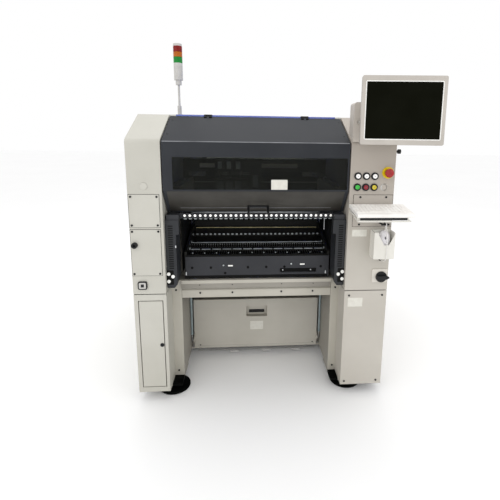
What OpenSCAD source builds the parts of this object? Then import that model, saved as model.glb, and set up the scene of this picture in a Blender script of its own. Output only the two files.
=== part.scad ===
// Floor-standing surface-mount placement machine: a steel frame between two sheet-metal towers,
// lifting hoods over the gantry, feeder racks front and rear, and the operator's controls on the right.
// Millimetres, +Z up, origin on the floor at the middle of the frame. The operator stands on the -Y side.

/* [Covers] */
// Width over both towers
machine_w = 1254; // [1200:2:1320]
// Depth from the front faces to the rear faces
machine_d = 1440; // [1400:2:1500]
// Height of the flat top of the covers
cover_top = 1445; // [1430:1:1480]
// Height of the covers' lower edge above the floor
cover_bottom = 56; // [50:1:70]
// Width of the left tower
left_tower_w = 155; // [140:1:170]
// Width of the right tower
right_tower_w = 218; // [216:1:224]
// Height of the joint between the upper and the lower covers
joint_z = 584; // [575:1:590]
// Height at which the front face bends back into the slope
bend_z = 1320; // [1310:1:1330]
// Depth of the sloping part of a cover
slope_run = 238; // [225:1:250]
// Radius of the cover's bends
bend_r = 25; // [10:1:35]
// Sheet thickness of the covers
skin = 3; // [2:0.5:3.5]
// Open line between covers, doors and panels that move or lift off
reveal = 4; // [3.5:0.5:5]

/* [Legs and beam] */
// How far the legs stand behind the towers' front faces
leg_setback = 130; // [125:1:140]
// Width of the left leg beside its tower
left_leg_w = 50; // [46:1:52]
// Width of the right leg beside its tower
right_leg_w = 41; // [40:1:44]
// Height of the cross beam's lower edge
beam_bottom = 505; // [495:1:515]
// Height of the cross beam's lip and of the machine bed
beam_top = 604; // [602:1:608]
// How far the lip stands out in front of the cross beam
lip_out = 12; // [8:1:14]
// Radius of a levelling foot
foot_r = 82; // [70:1:85]
// Height of the frame's foot plates above the floor
foot_h = 44; // [40:1:46]

/* [Board tunnel] */
// Height of the board's underside above the floor
board_z = 900; // [895:1:905]
// Thickness of a conveyor rail
rail_t = 12; // [10:1:14]
// Distance between the conveyor rails
board_w = 296; // [280:1:300]
// Front edge of the tunnel through the towers
tunnel_front = -175; // [-180:1:-172]
// Rear edge of the tunnel through the towers
tunnel_rear = 240; // [236:1:250]
// Clear height above the board
tunnel_over = 40; // [36:1:46]

/* [Feeder bay] */
// Depth of a feeder guard in front of the leg
guard_d = 105; // [95:1:110]
// Height of the top of a feeder guard
guard_top = 945; // [940:1:948]
// Width of the lower part of a guard
guard_w = 51; // [46:1:56]
// Height of a louvre slot
louvre_h = 4; // [3:0.5:5]
// Number of louvre slots in a guard
louvre_count = 20; // [10:1:24]
// Distance between feeder lanes
lane_pitch = 12.4; // [12:0.1:12.6]
// Number of feeder lanes
lane_count = 60; // [40:2:60]
// Diameter of a lane lamp
lamp_d = 16.5; // [12:0.5:18]
// Height of the feeder front plate
plate_h = 114; // [100:1:118]

/* [Hood] */
// Gap between a hood and the towers
hood_gap = 5.5; // [4:0.5:7]
// Thickness of the hood's shell
hood_t = 4; // [3:0.5:5]
// Height at which the hood's front turns back
hood_turn_z = 1090; // [1086:1:1092]
// Height of the hood's lower edge
hood_low_z = 974; // [973:1:980]
// How far the hood's lower edge lies behind its front
hood_low_back = 84; // [80:1:86]
// Height of the window's lower edge
window_low = 1096; // [1094:1:1100]
// Height of the window's upper edge
window_high = 1245; // [1235:1:1250]

/* [Gantry] */
// Height of the gantry's linear rails
gantry_z = 1090; // [1088:1:1094]
// Resting place of the cross beam, front to rear
beam_y = -130; // [-140:1:-120]
// Resting place of the placement head, left to right
head_x = -135; // [-145:1:-125]
// Distance between spindles
spindle_pitch = 60; // [52:1:62]
// Radius of a spindle
spindle_r = 7; // [6:0.5:8]
// Running clearance of shafts in their bores
slip = 0.05; // [0.02:0.01:0.1]

/* [Operator controls] */
// Distance between the push buttons, left to right
button_pitch = 41; // [40:1:44]
// Height of the upper row of buttons
button_high = 1163; // [1160:1:1170]
// Height of the lower row of buttons
button_low = 1110; // [1100:1:1114]
// Radius of a push button
button_r = 10.6; // [9:0.2:11]
// Radius of a button's black ring
bezel_r = 18; // [16:0.5:19]
// Radius of the rotary switch
switch_r = 28; // [24:1:30]
// Width of the monitor housing
monitor_w = 360; // [350:1:364]
// Height of the monitor housing
monitor_h = 292; // [280:1:300]
// Width of the monitor's picture
screen_w = 322; // [310:1:324]
// Height of the monitor's picture
screen_h = 241; // [230:1:246]
// Angle that the monitor is turned to the right
monitor_yaw = 6.8; // [5:0.1:8]
// Width of the keyboard
keyboard_w = 264; // [250:1:268]
// Depth of the keyboard
keyboard_d = 152; // [140:1:156]

/* [Hidden] */
$fn = 48;
// gap between pieces that rest on each other
seat = 0.3;
left_out = -machine_w / 2;
left_in = left_out + left_tower_w;
right_out = machine_w / 2;
right_in = right_out - right_tower_w;
front_y = -machine_d / 2;
rear_y = machine_d / 2;
leg_y = front_y + leg_setback;
bay_left = left_in + left_leg_w;
bay_right = right_in - right_leg_w;
bay_mid = (bay_left + bay_right) / 2;
slope_y = front_y + slope_run;

// ---- general shapes ----

// Cuboid between two limits along each axis
module block(x, y, z) {
  translate([x[0], y[0], z[0]]) cube([x[1] - x[0], y[1] - y[0], z[1] - z[0]]);
}

// Cylinder along X, Y or Z between two limits
module rod_x(x, y, z, r) {
  translate([x[0], y, z]) rotate([0, 90, 0]) cylinder(r = r, h = x[1] - x[0]);
}
module rod_y(x, y, z, r) {
  translate([x, y[0], z]) rotate([-90, 0, 0]) cylinder(r = r, h = y[1] - y[0]);
}
module rod_z(x, y, z, r) {
  translate([x, y, z[0]]) cylinder(r = r, h = z[1] - z[0]);
}

// Extrudes a Y-Z outline along X, or an X-Z outline along Y
module along_x(x) {
  translate([x[0], 0, 0]) rotate([90, 0, 90]) linear_extrude(x[1] - x[0]) children();
}
module along_y(y) {
  translate([0, y[1], 0]) rotate([90, 0, 0]) linear_extrude(y[1] - y[0]) children();
}

// The same thing at the front and, mirrored, at the rear
module both_ends() {
  children();
  mirror([0, 1, 0]) children();
}

function unit(v) = v / norm(v);
function left_of(v) = [-v[1], v[0]];

// Corner of an outline rounded with a radius, as points of an arc
function corner_arc(a, b, c, r, steps) =
  let (u = unit(a - b), v = unit(c - b), half = acos(u * v) / 2)
  r <= 0 ? [b] :
  let (reach = r / tan(half), start = b + u * reach, finish = b + v * reach,
       middle = b + unit(u + v) * (r / sin(half)),
       from = atan2(start[1] - middle[1], start[0] - middle[0]),
       to = atan2(finish[1] - middle[1], finish[0] - middle[0]),
       turn = to - from > 180 ? to - from - 360 : to - from < -180 ? to - from + 360 : to - from)
  [for (i = [0:steps]) middle + r * [cos(from + turn * i / steps), sin(from + turn * i / steps)]];

// Closed outline with each corner rounded by its own radius
function rounded(points, radii, steps = 6) =
  let (n = len(points))
  [for (i = [0:n - 1], p = corner_arc(points[(i + n - 1) % n], points[i], points[(i + 1) % n],
                                      radii[i], steps)) p];

// Closed outline moved inwards by a distance (the outline runs anticlockwise)
function inset(points, t) =
  let (n = len(points))
  [for (i = [0:n - 1])
    let (before = unit(points[i] - points[(i + n - 1) % n]),
         after = unit(points[(i + 1) % n] - points[i]),
         bisector = unit(left_of(before) + left_of(after)))
    points[i] + bisector * t / (bisector * left_of(after))];

// Bent sheet: the outline of a strip of thickness t to the left of an open path
function sheet(path, t) =
  let (n = len(path),
       inner = [for (i = [n - 1:-1:0])
         let (before = unit(path[max(i, 1)] - path[max(i, 1) - 1]),
              after = unit(path[min(i, n - 2) + 1] - path[min(i, n - 2)]),
              bisector = unit(left_of(before) + left_of(after)))
         path[i] + bisector * t / (bisector * left_of(after))])
  concat(path, inner);

// Rounded rectangle as an outline
function rounded_box(x, y, r) =
  rounded([[x[0], y[0]], [x[1], y[0]], [x[1], y[1]], [x[0], y[1]]], [r, r, r, r]);

// ---- covers ----

// Side view of a tower's upper cover, front edge first
function tower_corners() = [
  [front_y, joint_z + reveal / 2], [rear_y, joint_z + reveal / 2], [rear_y, bend_z],
  [-slope_y, cover_top], [slope_y, cover_top], [front_y, bend_z]
];
function tower_radii(r) = [0, 0, r, r, r, r];

// Height of the sloping cover at a place near the front
function slope_z(y) = bend_z + (y - front_y) * (cover_top - bend_z) / slope_run;

module tower_shell(x) {
  difference() {
    along_x(x) polygon(rounded(tower_corners(), tower_radii(bend_r)));
    along_x([x[0] + skin, x[1] - skin])
      polygon(rounded(inset(tower_corners(), skin), tower_radii(bend_r - skin)));
    block([x[0] + skin, x[1] - skin], [front_y + skin, rear_y - skin],
          [joint_z, joint_z + reveal / 2 + 2 * skin]);
    board_tunnel();
  }
}

module board_tunnel() {
  block([left_out - 1, right_out + 1], [tunnel_front, tunnel_rear],
        [board_z - rail_drop - 10, board_z + tunnel_over]);
}

module lower_shell(x) {
  difference() {
    block(x, [front_y, rear_y], [cover_bottom, joint_z - reveal / 2]);
    block([x[0] + skin, x[1] - skin], [front_y + skin, rear_y - skin], [0, joint_z]);
  }
}

module left_tower_cover() {
  color([0.79, 0.79, 0.75]) difference() {
    tower_shell([left_out, left_in]);
    for (z = plug_z) rod_y(left_plug_x, [front_y - 1, front_y + skin + 1], z, plug_r);
  }
}

module right_tower_cover() {
  color([0.77, 0.76, 0.72]) difference() {
    tower_shell([right_in, right_out]);
    for (place = button_places) rod_y(place[0], [front_y - 1, front_y + skin + 1], place[1],
                                      button_r + button_play);
    rod_y(stop_x, [front_y - 1, front_y + skin + 1], stop_z, stop_stem_r + button_play);
    rod_y(right_plug_x, [front_y - 1, front_y + skin + 1], plug_z[0], plug_r);
  }
}

door_x = [left_out + 19, left_out + 139];
door_z = [cover_bottom + 26, joint_z - 33];
door_depth = 18;
pocket_depth = 110;
pivot_r = 2.5;
pivot_in = 6;
pivot_x = door_x[0] + reveal + pivot_in;
pivot_y = front_y + pivot_in;
lug_h = 6;

module left_lower_cover() {
  color([0.77, 0.77, 0.74]) {
    difference() {
      union() {
        lower_shell([left_out, left_in]);
        block([door_x[0] - skin, door_x[1] + skin], [front_y + skin, front_y + pocket_depth],
              [door_z[0] - skin, door_z[1] + skin]);
      }
      block(door_x, [front_y - 1, front_y + pocket_depth - skin], door_z);
      for (z = [[door_z[0] - lug_h, door_z[0] + 1], [door_z[1] - 1, door_z[1] + lug_h]])
        rod_z(pivot_x, pivot_y, z, pivot_r + slip);
    }
  }
}

module left_door() {
  x = [door_x[0] + reveal, door_x[1] - reveal];
  z = [door_z[0] + reveal, door_z[1] - reveal];
  color([0.78, 0.78, 0.75]) {
    difference() {
      block(x, [front_y, front_y + door_depth], z);
      block([x[0] + 2, x[1] - 2], [front_y + 2, front_y + door_depth + 1], [z[0] + 2, z[1] - 2]);
      rod_y(lock_x, [front_y - 1, front_y + 3], lock_z, lock_r + 0.3);
    }
    for (end = [[door_z[0] - 2, z[0] + 20], [z[1] - 20, door_z[1] + 2]])
      rod_z(pivot_x, pivot_y, end, pivot_r);
    for (end = [[z[0] + 1, z[0] + 20], [z[1] - 20, z[1] - 1]])
      difference() {
        block([x[0] + 1, pivot_x + 6], [front_y + 1, pivot_y + 6], end);
        rod_z(pivot_x, pivot_y, [end[0] - 1, end[1] + 1], pivot_r - 0.2);
      }
  }
}

lock_x = door_x[1] - 14;
lock_z = 315;
lock_r = 8;

module door_lock() {
  color([0.75, 0.76, 0.77]) {
    difference() {
      union() {
        rod_y(lock_x, [front_y - 1.5, front_y - 0.2], lock_z, lock_r + 2);
        rod_y(lock_x, [front_y - 1, front_y + door_depth - 4], lock_z, lock_r);
      }
      block([lock_x - 1, lock_x + 1], [front_y - 3, front_y + 2], [lock_z - 4, lock_z + 4]);
    }
    block([lock_x - 5, lock_x + 5], [front_y + door_depth - 4, front_y + door_depth - 1],
          [lock_z - 4, lock_z + 30]);
  }
}

module right_lower_cover() {
  color([0.76, 0.75, 0.71]) lower_shell([right_in, right_out]);
}

// ---- panels, fittings and screws on the towers' front faces ----

panel_t = 2;
upper_panel_z = [joint_z + 333, joint_z + 488];
left_panel_x = [left_out + 3, left_out + 141];
right_panel_x = [right_in + 22, right_out - 4];
service_panel_z = [joint_z + 96, joint_z + 322];

module front_plate(x, z) {
  along_y([front_y - panel_t, front_y]) polygon(rounded_box(x, z, 3));
}

module access_panels() {
  color([0.79, 0.79, 0.75]) {
    front_plate(left_panel_x, upper_panel_z);
    front_plate(left_panel_x, service_panel_z);
    front_plate(right_panel_x, upper_panel_z);
    for (z = plug_z) rod_y(left_plug_x, [front_y - 2, front_y + skin], z, plug_r - 0.2);
    rod_y(right_plug_x, [front_y - 2, front_y + skin], plug_z[0], plug_r - 0.2);
  }
}

plug_r = 17;
inlet_x = left_out + 21;
inlet_z = service_panel_z[1] - 74;
socket_x = [left_out + 25, left_out + 68];
socket_z = [joint_z + 27, joint_z + 67];
plug_z = [1111];
left_plug_x = left_out + 74;
right_plug_x = right_in + 173;

screw_r = 5;
screw_h = 2.4;

function inner_corners(x, z, d) =
  [[x[0] + d, z[0] + d], [x[1] - d, z[0] + d], [x[0] + d, z[1] - d], [x[1] - d, z[1] - d]];

// Black screws: the X-Z places of their heads on a plane at y
module screws(places, y) {
  for (p = places) rod_y(p[0], [y - screw_h, y], p[1], screw_r);
}

module cover_screws() {
  color([0.08, 0.08, 0.08]) {
    screws(inner_corners(left_panel_x, upper_panel_z, 10), front_y - panel_t);
    screws(inner_corners(left_panel_x, service_panel_z, 9), front_y - panel_t);
    screws(inner_corners([right_panel_x[0] + 22, right_panel_x[1] - 23], upper_panel_z, 10),
           front_y - panel_t);
    screws([[right_in + 24, 558], [right_out - 23, 558], [right_in + 20, 76], [right_out - 27, 76]],
           front_y);
    both_ends() {
      screws([for (z = [86, 549]) [bay_left - 29, z]], leg_y);
      screws([for (z = [86, 549]) [bay_right + 24, z]], leg_y);
      screws([for (d = [-300, -132, 127, 296]) [bay_mid + d, beam_bottom + 26]], leg_y);
    }
  }
}

module panel_fittings() {
  color([0.07, 0.07, 0.07]) {
    // rings round the push buttons
    for (place = button_places) difference() {
      rod_y(place[0], [front_y - 5, front_y], place[1], bezel_r);
      rod_y(place[0], [front_y - 6, front_y + 1], place[1], button_r + button_play);
    }
    // air inlet and service socket on the left tower
    difference() {
      rod_y(inlet_x, [front_y - 16, front_y - panel_t], inlet_z, 14);
      rod_y(inlet_x, [front_y - 17, front_y - 6], inlet_z, 7);
    }
    difference() {
      along_y([front_y - 8, front_y]) polygon(rounded_box(socket_x, socket_z, 8));
      along_y([front_y - 9, front_y - 3])
        polygon(inset(rounded_box(socket_x, socket_z, 8), 7));
    }
    // cable gland under the mouse holder
    rod_y(gland_x, [front_y - 10, front_y], gland_z, 9);
    // clip that the mouse's lead hangs over
    for (side = [-1, 1])
      rod_y(gland_x + side * (clip_half - 6), [clip_y, front_y - panel_t], clip_z, clip_r - 1);
    rod_x([gland_x - clip_half, gland_x + clip_half], clip_y, clip_z, clip_r);
    // clamping knob on the right side
    rod_x([right_out, right_out + 14], front_y + 20, bend_z - 40, 5);
    rod_x([right_out + 14, right_out + 26], front_y + 20, bend_z - 40, 11);
    // catches along the roof's edges, each with its hinge ears
    both_ends() for (x = hinge_places) roof_hinge(x);
  }
}

hinge_places = [bay_mid - 251, bay_mid + 244];
hinge_w = 38;
hinge_y = slope_y - 8;
hinge_z = cover_top - 9;
hinge_r = 6;
hinge_pin_r = 2.5;

module roof_hinge(x) {
  block([x - hinge_w / 2, x + hinge_w / 2], [slope_y + 1, slope_y + 16],
        [hinge_z - hinge_r, hinge_z - 1]);
  for (ear = [[x - hinge_w / 2, x - hinge_w / 6], [x + hinge_w / 6, x + hinge_w / 2]]) {
    rod_x(ear, hinge_y, hinge_z, hinge_r);
    block(ear, [hinge_y, slope_y + 2], [hinge_z - hinge_r, hinge_z - 1]);
  }
  rod_x([x - hinge_w / 2, x + hinge_w / 2], hinge_y, hinge_z, hinge_pin_r);
}

// ---- frame ----

foot_centres = [[left_in - 2, leg_y - 7], [right_in + 55, leg_y - 7]];
bed_t = 24;
bed_top = beam_top - 4;
column_y = [-leg_y - 160, -leg_y - 90];
gantry_left = [left_in + 2, bay_left + 6];
gantry_right = [bay_right - 4, right_in - 2];
gantry_h = 90;
gantry_end = -leg_y - 30;

module base_frame() {
  color([0.60, 0.59, 0.56]) {
    both_ends() {
      // foot plates under the towers and the legs
      block([left_in - 70, bay_left], [leg_y - 75, leg_y + 120], [foot_h, cover_bottom]);
      block([bay_right, right_in + 120], [leg_y - 75, leg_y + 120], [foot_h, cover_bottom]);
      // sill under the centre cabinet
      block([bay_left, bay_right], [flap_y + 30, flap_y + 90], [cover_bottom, cover_bottom + 40]);
      // gantry columns on the bed
      for (x = [[gantry_left[0], gantry_left[1] - 2], [gantry_right[0] + 2, gantry_right[1]]])
        block(x, [-column_y[1], -column_y[0]], [bed_top, gantry_z - gantry_h]);
      // front member under the bed
      block([bay_left, bay_right], [leg_y + 35, leg_y + 75], [beam_bottom + 12, bed_top - bed_t]);
    }
    // legs: deep box sections, one beside each tower
    for (x = [[left_in, bay_left], [bay_right, right_in]])
      difference() {
        block(x, [leg_y + skin, -leg_y - skin], [cover_bottom, bed_top - bed_t]);
        block([x[0] + 6, x[1] - 6], [leg_y + 60, -leg_y - 60], [cover_bottom - 1, bed_top - bed_t - 20]);
        rod_x([bay_left - 6, bay_right + 6], flap_hinge_y, flap_hinge_z, flap_pin_r + slip);
      }
    // pins that the flap's gas springs hang on
    rod_x([bay_left, bay_left + spring_inset + 6], spring_y, spring_top_z, 4);
    rod_x([bay_right - spring_inset - 6, bay_right], spring_y, spring_top_z, 4);
    // machine bed
    block([left_in, right_in], [leg_y + 12, -leg_y - 12], [bed_top - bed_t, bed_top]);
    for (x = [bay_mid - 223, bay_mid, bay_mid + 227])
      block([x - 10, x + 10], [leg_y + 75, -leg_y - 75], [bed_top - bed_t - 60, bed_top - bed_t]);
    // side beams that carry the gantry
    block(gantry_left, [-gantry_end, gantry_end], [gantry_z - gantry_h, gantry_z]);
    block(gantry_right, [-gantry_end, gantry_end], [gantry_z - gantry_h, gantry_z]);
  }
}

module levelling_feet() {
  color([0.06, 0.06, 0.06]) both_ends() for (c = foot_centres) translate([c[0], c[1], 0]) {
    rotate_extrude($fn = 64) polygon([
      [0, 0], [foot_r - 3, 0], [foot_r, 3], [foot_r, 10], [foot_r - 6, 15],
      [24, 20], [20, 27], [0, 27]
    ]);
    cylinder(r = 10, h = foot_h);
    translate([0, 0, foot_h - 10]) cylinder(r = 17, h = 10, $fn = 6);
  }
}

module beam_covers() {
  color([0.70, 0.69, 0.64]) both_ends() {
    along_x([bay_left + 1, bay_right - 1]) polygon(sheet([
      [rack_front - seat, beam_top], [leg_y - lip_out, beam_top], [leg_y - lip_out, beam_top - 18],
      [leg_y, beam_top - 18], [leg_y + 7, beam_bottom + 48], [leg_y, beam_bottom + 40],
      [leg_y, beam_bottom], [leg_y + 30, beam_bottom]
    ], skin));
    block([left_in, bay_left], [leg_y, leg_y + skin], [cover_bottom, beam_top]);
    block([bay_right, right_in], [leg_y, leg_y + skin], [cover_bottom, beam_top]);
  }
}

flap_y = leg_y + 270;
flap_z = [cover_bottom - 8, cover_bottom + 312];
cabinet_top = beam_bottom - 35;

module centre_cabinet() {
  color([0.55, 0.53, 0.49]) {
    // housing of the controller between the legs, and the rear panel of the recess
    block([bay_left + 40, bay_right - 40], [flap_y + 120, -flap_y - 30], [cover_bottom + 44, cabinet_top]);
    block([bay_left + 3, bay_right - 3], [-flap_y - 20, -flap_y], flap_z);
    block([bay_left + 120, bay_right - 120], [-flap_y - 30, -flap_y - 20], [120, 320]);
    block([bay_left + 40, bay_right - 40], [-flap_y - 90, -flap_y - 30],
          [cover_bottom + 40, cover_bottom + 44]);
  }
}

// ---- roof ----

roof_window_x = [left_in + 33, right_in - 31];
roof_t = 9;

module roof_cover() {
  x = [left_in, right_in];
  color([0.80, 0.79, 0.76]) difference() {
    block(x, [slope_y, -slope_y], [cover_top - 24, cover_top]);
    block([x[0] + 30, x[1] - 30], [slope_y + 18, -slope_y - 18], [cover_top - 25, cover_top + 1]);
    block([roof_window_x[0] - 0.5, roof_window_x[1] + 0.5], [slope_y - 1, 1 - slope_y],
          [cover_top - roof_t, cover_top + 1]);
    both_ends() for (hx = hinge_places)
      block([hx - hinge_w / 2 - 1, hx + hinge_w / 2 + 1], [slope_y - 1, slope_y + 16],
            [hinge_z - hinge_r - 1, cover_top]);
  }
}

module roof_window() {
  color([0.62, 0.66, 0.86, 0.6]) difference() {
    block(roof_window_x, [slope_y, -slope_y], [cover_top - roof_t, cover_top + 1]);
    both_ends() for (hx = hinge_places)
      block([hx - hinge_w / 2 - 1, hx + hinge_w / 2 + 1], [slope_y - 1, slope_y + 6],
            [cover_top - 20, cover_top + 2]);
  }
}

// ---- hoods ----

hood_x = [left_in + hood_gap, right_in - hood_gap];
hood_top_y = slope_y - 4;
window_x = [hood_x[0] + 45.5, hood_x[1] - 8.5];
glass_t = 3;
hood_path = [
  [front_y + hood_low_back + 14, hood_low_z + 3], [front_y + hood_low_back, hood_low_z],
  [front_y, hood_turn_z], [front_y, bend_z - 5], [hood_top_y, slope_z(hood_top_y) - 5]
];

module hood_shell() {
  flange = 26;
  difference() {
    union() {
      along_x(hood_x) polygon(sheet([for (i = [len(hood_path) - 1:-1:0]) hood_path[i]], hood_t));
      for (x = [[hood_x[0], hood_x[0] + hood_t], [hood_x[1] - hood_t, hood_x[1]]])
        along_x(x) polygon(sheet([for (i = [len(hood_path) - 1:-1:1]) hood_path[i]], flange));
    }
    block(window_x, [front_y - 1, front_y + hood_t + 1], [window_low, window_high]);
    block([hood_x[0] - 1, hood_x[1] + 1], [hood_top_y, slope_y + 30],
          [cover_top - 60, cover_top + 10]);
  }
}

module hood_barrels() {
  for (x = hinge_places) {
    half = hinge_w / 6 - 0.5;
    difference() {
      union() {
        rod_x([x - half, x + half], hinge_y, hinge_z, hinge_r);
        along_x([x - half, x + half]) polygon([
          [hinge_y, hinge_z], [hinge_y, hinge_z - hinge_r],
          [hood_top_y - 26, slope_z(hood_top_y - 26) - 10], [hood_top_y - 26, slope_z(hood_top_y - 26) - 6],
          [hinge_y - 3, hinge_z + 2]
        ]);
      }
      rod_x([x - half - 1, x + half + 1], hinge_y, hinge_z, hinge_pin_r + slip);
    }
  }
}

module hood() {
  difference() {
    hood_shell();
    for (x = hinge_places)
      block([x - hinge_w / 2 - 1, x + hinge_w / 2 + 1], [hinge_y - 12, slope_y], [hinge_z - 56, hinge_z + 24]);
  }
  hood_barrels();
}

module hood_pane() {
  block([window_x[0] + 0.2, window_x[1] - 0.2], [front_y + 0.6, front_y + 0.6 + glass_t],
        [window_low + 0.2, window_high - 0.2]);
}

module front_hood() {
  color([0.25, 0.26, 0.28]) hood();
}
module rear_hood() {
  color([0.25, 0.26, 0.28]) mirror([0, 1, 0]) hood();
}
module front_hood_window() {
  color([0.08, 0.09, 0.09, 0.6]) hood_pane();
}
module rear_hood_window() {
  color([0.08, 0.09, 0.09, 0.6]) mirror([0, 1, 0]) hood_pane();
}

handle_x = [bay_mid - 52, bay_mid + 53];
handle_z = hood_low_z + 32;
handle_bar_r = 5;
handle_reach = 48;

// Place on the hood's lower slope at a height
function low_slope_y(z) = front_y + hood_low_back * (hood_turn_z - z) / (hood_turn_z - hood_low_z);

module hood_handle() {
  lean = atan(hood_low_back / (hood_turn_z - hood_low_z));
  color([0.06, 0.06, 0.06]) translate([0, low_slope_y(handle_z), handle_z]) rotate([lean, 0, 0]) {
    for (x = [handle_x[0] + handle_bar_r, handle_x[1] - handle_bar_r]) {
      rod_y(x, [-handle_reach, 0], 0, handle_bar_r);
      translate([x, -handle_reach, 0]) sphere(r = handle_bar_r);
    }
    rod_x([handle_x[0] + handle_bar_r, handle_x[1] - handle_bar_r], -handle_reach, 0, handle_bar_r);
    // foot plate on the hood
    block(handle_x, [-3, 0], [-7, 7]);
  }
}

// ---- feeder bay ----

guard_front = leg_y - guard_d;
guard_low = beam_top;
guard_step_z = guard_top - 71;
guard_top_w = 66;
louvre_z = [beam_top + 100, guard_top - 31];
louvre_w = 18;

// One guard beside a tower: x0 is the tower's inner face, s points into the bay
module guard(x0, s) {
  translate([x0, 0, 0]) mirror([s < 0 ? 1 : 0, 0, 0]) {
    along_y([guard_front, guard_front + skin]) difference() {
      polygon([
        [2, guard_low], [guard_w - 14, guard_low], [guard_w, guard_low + 18], [guard_w, guard_step_z],
        [guard_top_w, guard_step_z], [guard_top_w, guard_top], [2, guard_top]
      ]);
      for (i = [0:louvre_count - 1])
        translate([17, louvre_z[0] + i * (louvre_z[1] - louvre_z[0]) / (louvre_count - 1)])
          square([louvre_w, louvre_h]);
    }
    along_x([guard_w - skin, guard_w]) polygon([
      [guard_front + skin, guard_low + 18], [leg_y, guard_low + 36], [leg_y, guard_top],
      [guard_front + skin, guard_top]
    ]);
    block([2, guard_w - skin], [guard_front + skin, leg_y], [guard_top - skin, guard_top]);
    block([2, 2 + skin], [guard_front + skin, leg_y], [guard_low, guard_top - skin]);
    block([2, guard_w - skin], [leg_y - skin, leg_y], [guard_low + 36, guard_top - skin]);
  }
}

module feeder_guards() {
  color([0.15, 0.15, 0.16]) both_ends() {
    guard(left_in, 1);
    guard(right_in, -1);
  }
}

module guard_caps() {
  color([0.92, 0.92, 0.90]) both_ends() {
    for (p = [[8.5, beam_top + 73], [29, beam_top + 60], [8.5, beam_top + 35]]) {
      rod_y(left_in + p[0] + 2, [guard_front - 4, guard_front], p[1], 8.5);
      rod_y(right_in - p[0] - 2, [guard_front - 4, guard_front], p[1], 8.5);
    }
  }
}

lamp_bar_y = [guard_front + 43, guard_front + 55];
lamp_bar_z = [guard_top, guard_top + 25];
lamp_count = lane_count / 2;
lamp_z = guard_top + 14;

module feeder_panels() {
  color([0.20, 0.20, 0.21]) both_ends() {
    // front plate with its turned-back lower edge
    along_x([bay_left + 23, bay_right - 16]) polygon(sheet([
      [rack_front - seat, beam_top + 9], [leg_y + 3, beam_top + 9], [leg_y + 3, beam_top + 9 + plate_h]
    ], -skin));
    // pull bar along the plate's lower right part
    rod_x([bay_right - 272, bay_right - 84], leg_y - 16, beam_top + 36, 5);
    for (x = [bay_right - 264, bay_right - 92]) rod_y(x, [leg_y - 16, leg_y + 3], beam_top + 36, 4);
    // lamp bar and its end blocks on the guards
    block([left_in + 66, right_in - 60], lamp_bar_y, lamp_bar_z);
    block([left_in + 8, left_in + 66], [lamp_bar_y[0] - 38, lamp_bar_y[1] + 30], lamp_bar_z);
    block([right_in - 60, right_in - 8], [lamp_bar_y[0] - 38, lamp_bar_y[1] + 30], lamp_bar_z);
  }
}

module lane_lamps() {
  color([0.97, 0.97, 0.95]) both_ends() for (i = [0:lamp_count - 1])
    translate([bay_mid + 4 + (i - (lamp_count - 1) / 2) * 2 * lane_pitch, lamp_bar_y[0], lamp_z])
      rotate([90, 0, 0]) cylinder(r = lamp_d / 2, h = 3, $fn = 24);
}

rack_x = [bay_left + 18, bay_right - 12];
rack_cheek = 12;
rack_front = leg_y + 12;
rack_back = leg_y + 350;
rack_back_top = beam_top + 242;
// cross rails: depth behind the leg faces, top above the beam, width and height
rack_rails = [[24, 127, 18, 6], [84, 138, 14, 10], [152, 156, 12, 8], [238, 181, 12, 8], [328, 198, 14, 8]];
comb_y = [leg_y + 112, leg_y + 116];
comb_z = beam_top + 140;
tooth_h = 16;
tooth_w = 5;

// Comb outline: a bar with one tooth beside each feeder lane
function comb_points(x0, x1, z, n, pitch) = concat(
  [[x1, z - 12], [x0, z - 12], [x0, z]],
  [for (i = [0:n - 1], q = [[0, 0], [0, 1], [1, 1], [1, 0]])
    [(x0 + x1) / 2 + (i - (n - 1) / 2) * pitch + (q[0] - 0.5) * tooth_w, z + q[1] * tooth_h]],
  [[x1, z]]
);

module feeder_racks() {
  inner = [rack_x[0] + rack_cheek, rack_x[1] - rack_cheek];
  color([0.30, 0.30, 0.29]) both_ends() {
    for (x = [[rack_x[0], inner[0]], [inner[1], rack_x[1]]])
      along_x(x) polygon([
        [rack_front, bed_top], [rack_back, bed_top], [rack_back, rack_back_top],
        [rack_back - 60, rack_back_top - 16], [rack_front, beam_top + 146]
      ]);
    for (r = rack_rails)
      block(inner, [leg_y + r[0] - r[2] / 2, leg_y + r[0] + r[2] / 2],
            [beam_top + r[1] - r[3], beam_top + r[1]]);
    block(inner, [rack_back - 4, rack_back], [bed_top, rack_back_top]);
    along_y(comb_y) polygon(comb_points(inner[0], inner[1], comb_z, lane_count, lane_pitch));
  }
}

// ---- signal tower ----

tower_x = left_in + 20;
tower_y = slope_y + 182;
pole_r = 6;
lens_r = 23.5;
body_z = [cover_top + 192, cover_top + 279];
lens_z = [body_z[1], body_z[1] + 31, body_z[1] + 56, body_z[1] + 86];

module signal_tower_post() {
  color([0.85, 0.85, 0.83]) {
    block([tower_x - 14, tower_x + 11], [tower_y - 20, tower_y + 20], [cover_top, cover_top + 8]);
    rod_z(tower_x, tower_y, [cover_top + 8, cover_top + 57], 11);
    rod_z(tower_x, tower_y, [cover_top + 57, body_z[0] - 25], pole_r);
    rod_z(tower_x, tower_y, [body_z[0] - 25, body_z[0]], 16);
    rod_z(tower_x, tower_y, body_z, lens_r);
    rod_z(tower_x, tower_y, [lens_z[3], lens_z[3] + 12], lens_r - 0.5);
    rod_z(tower_x, tower_y, [lens_z[0], lens_z[3]], 5);
  }
}

module lens(z) {
  difference() {
    rotate_extrude() polygon([
      [0, z[0]], [lens_r, z[0]], [lens_r, z[1] - 1.5], [lens_r - 1.5, z[1]], [0, z[1]]
    ]);
    translate([0, 0, z[0] - 1]) cylinder(r = 5 + 2 * slip, h = z[1] - z[0] + 2);
  }
}

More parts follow.
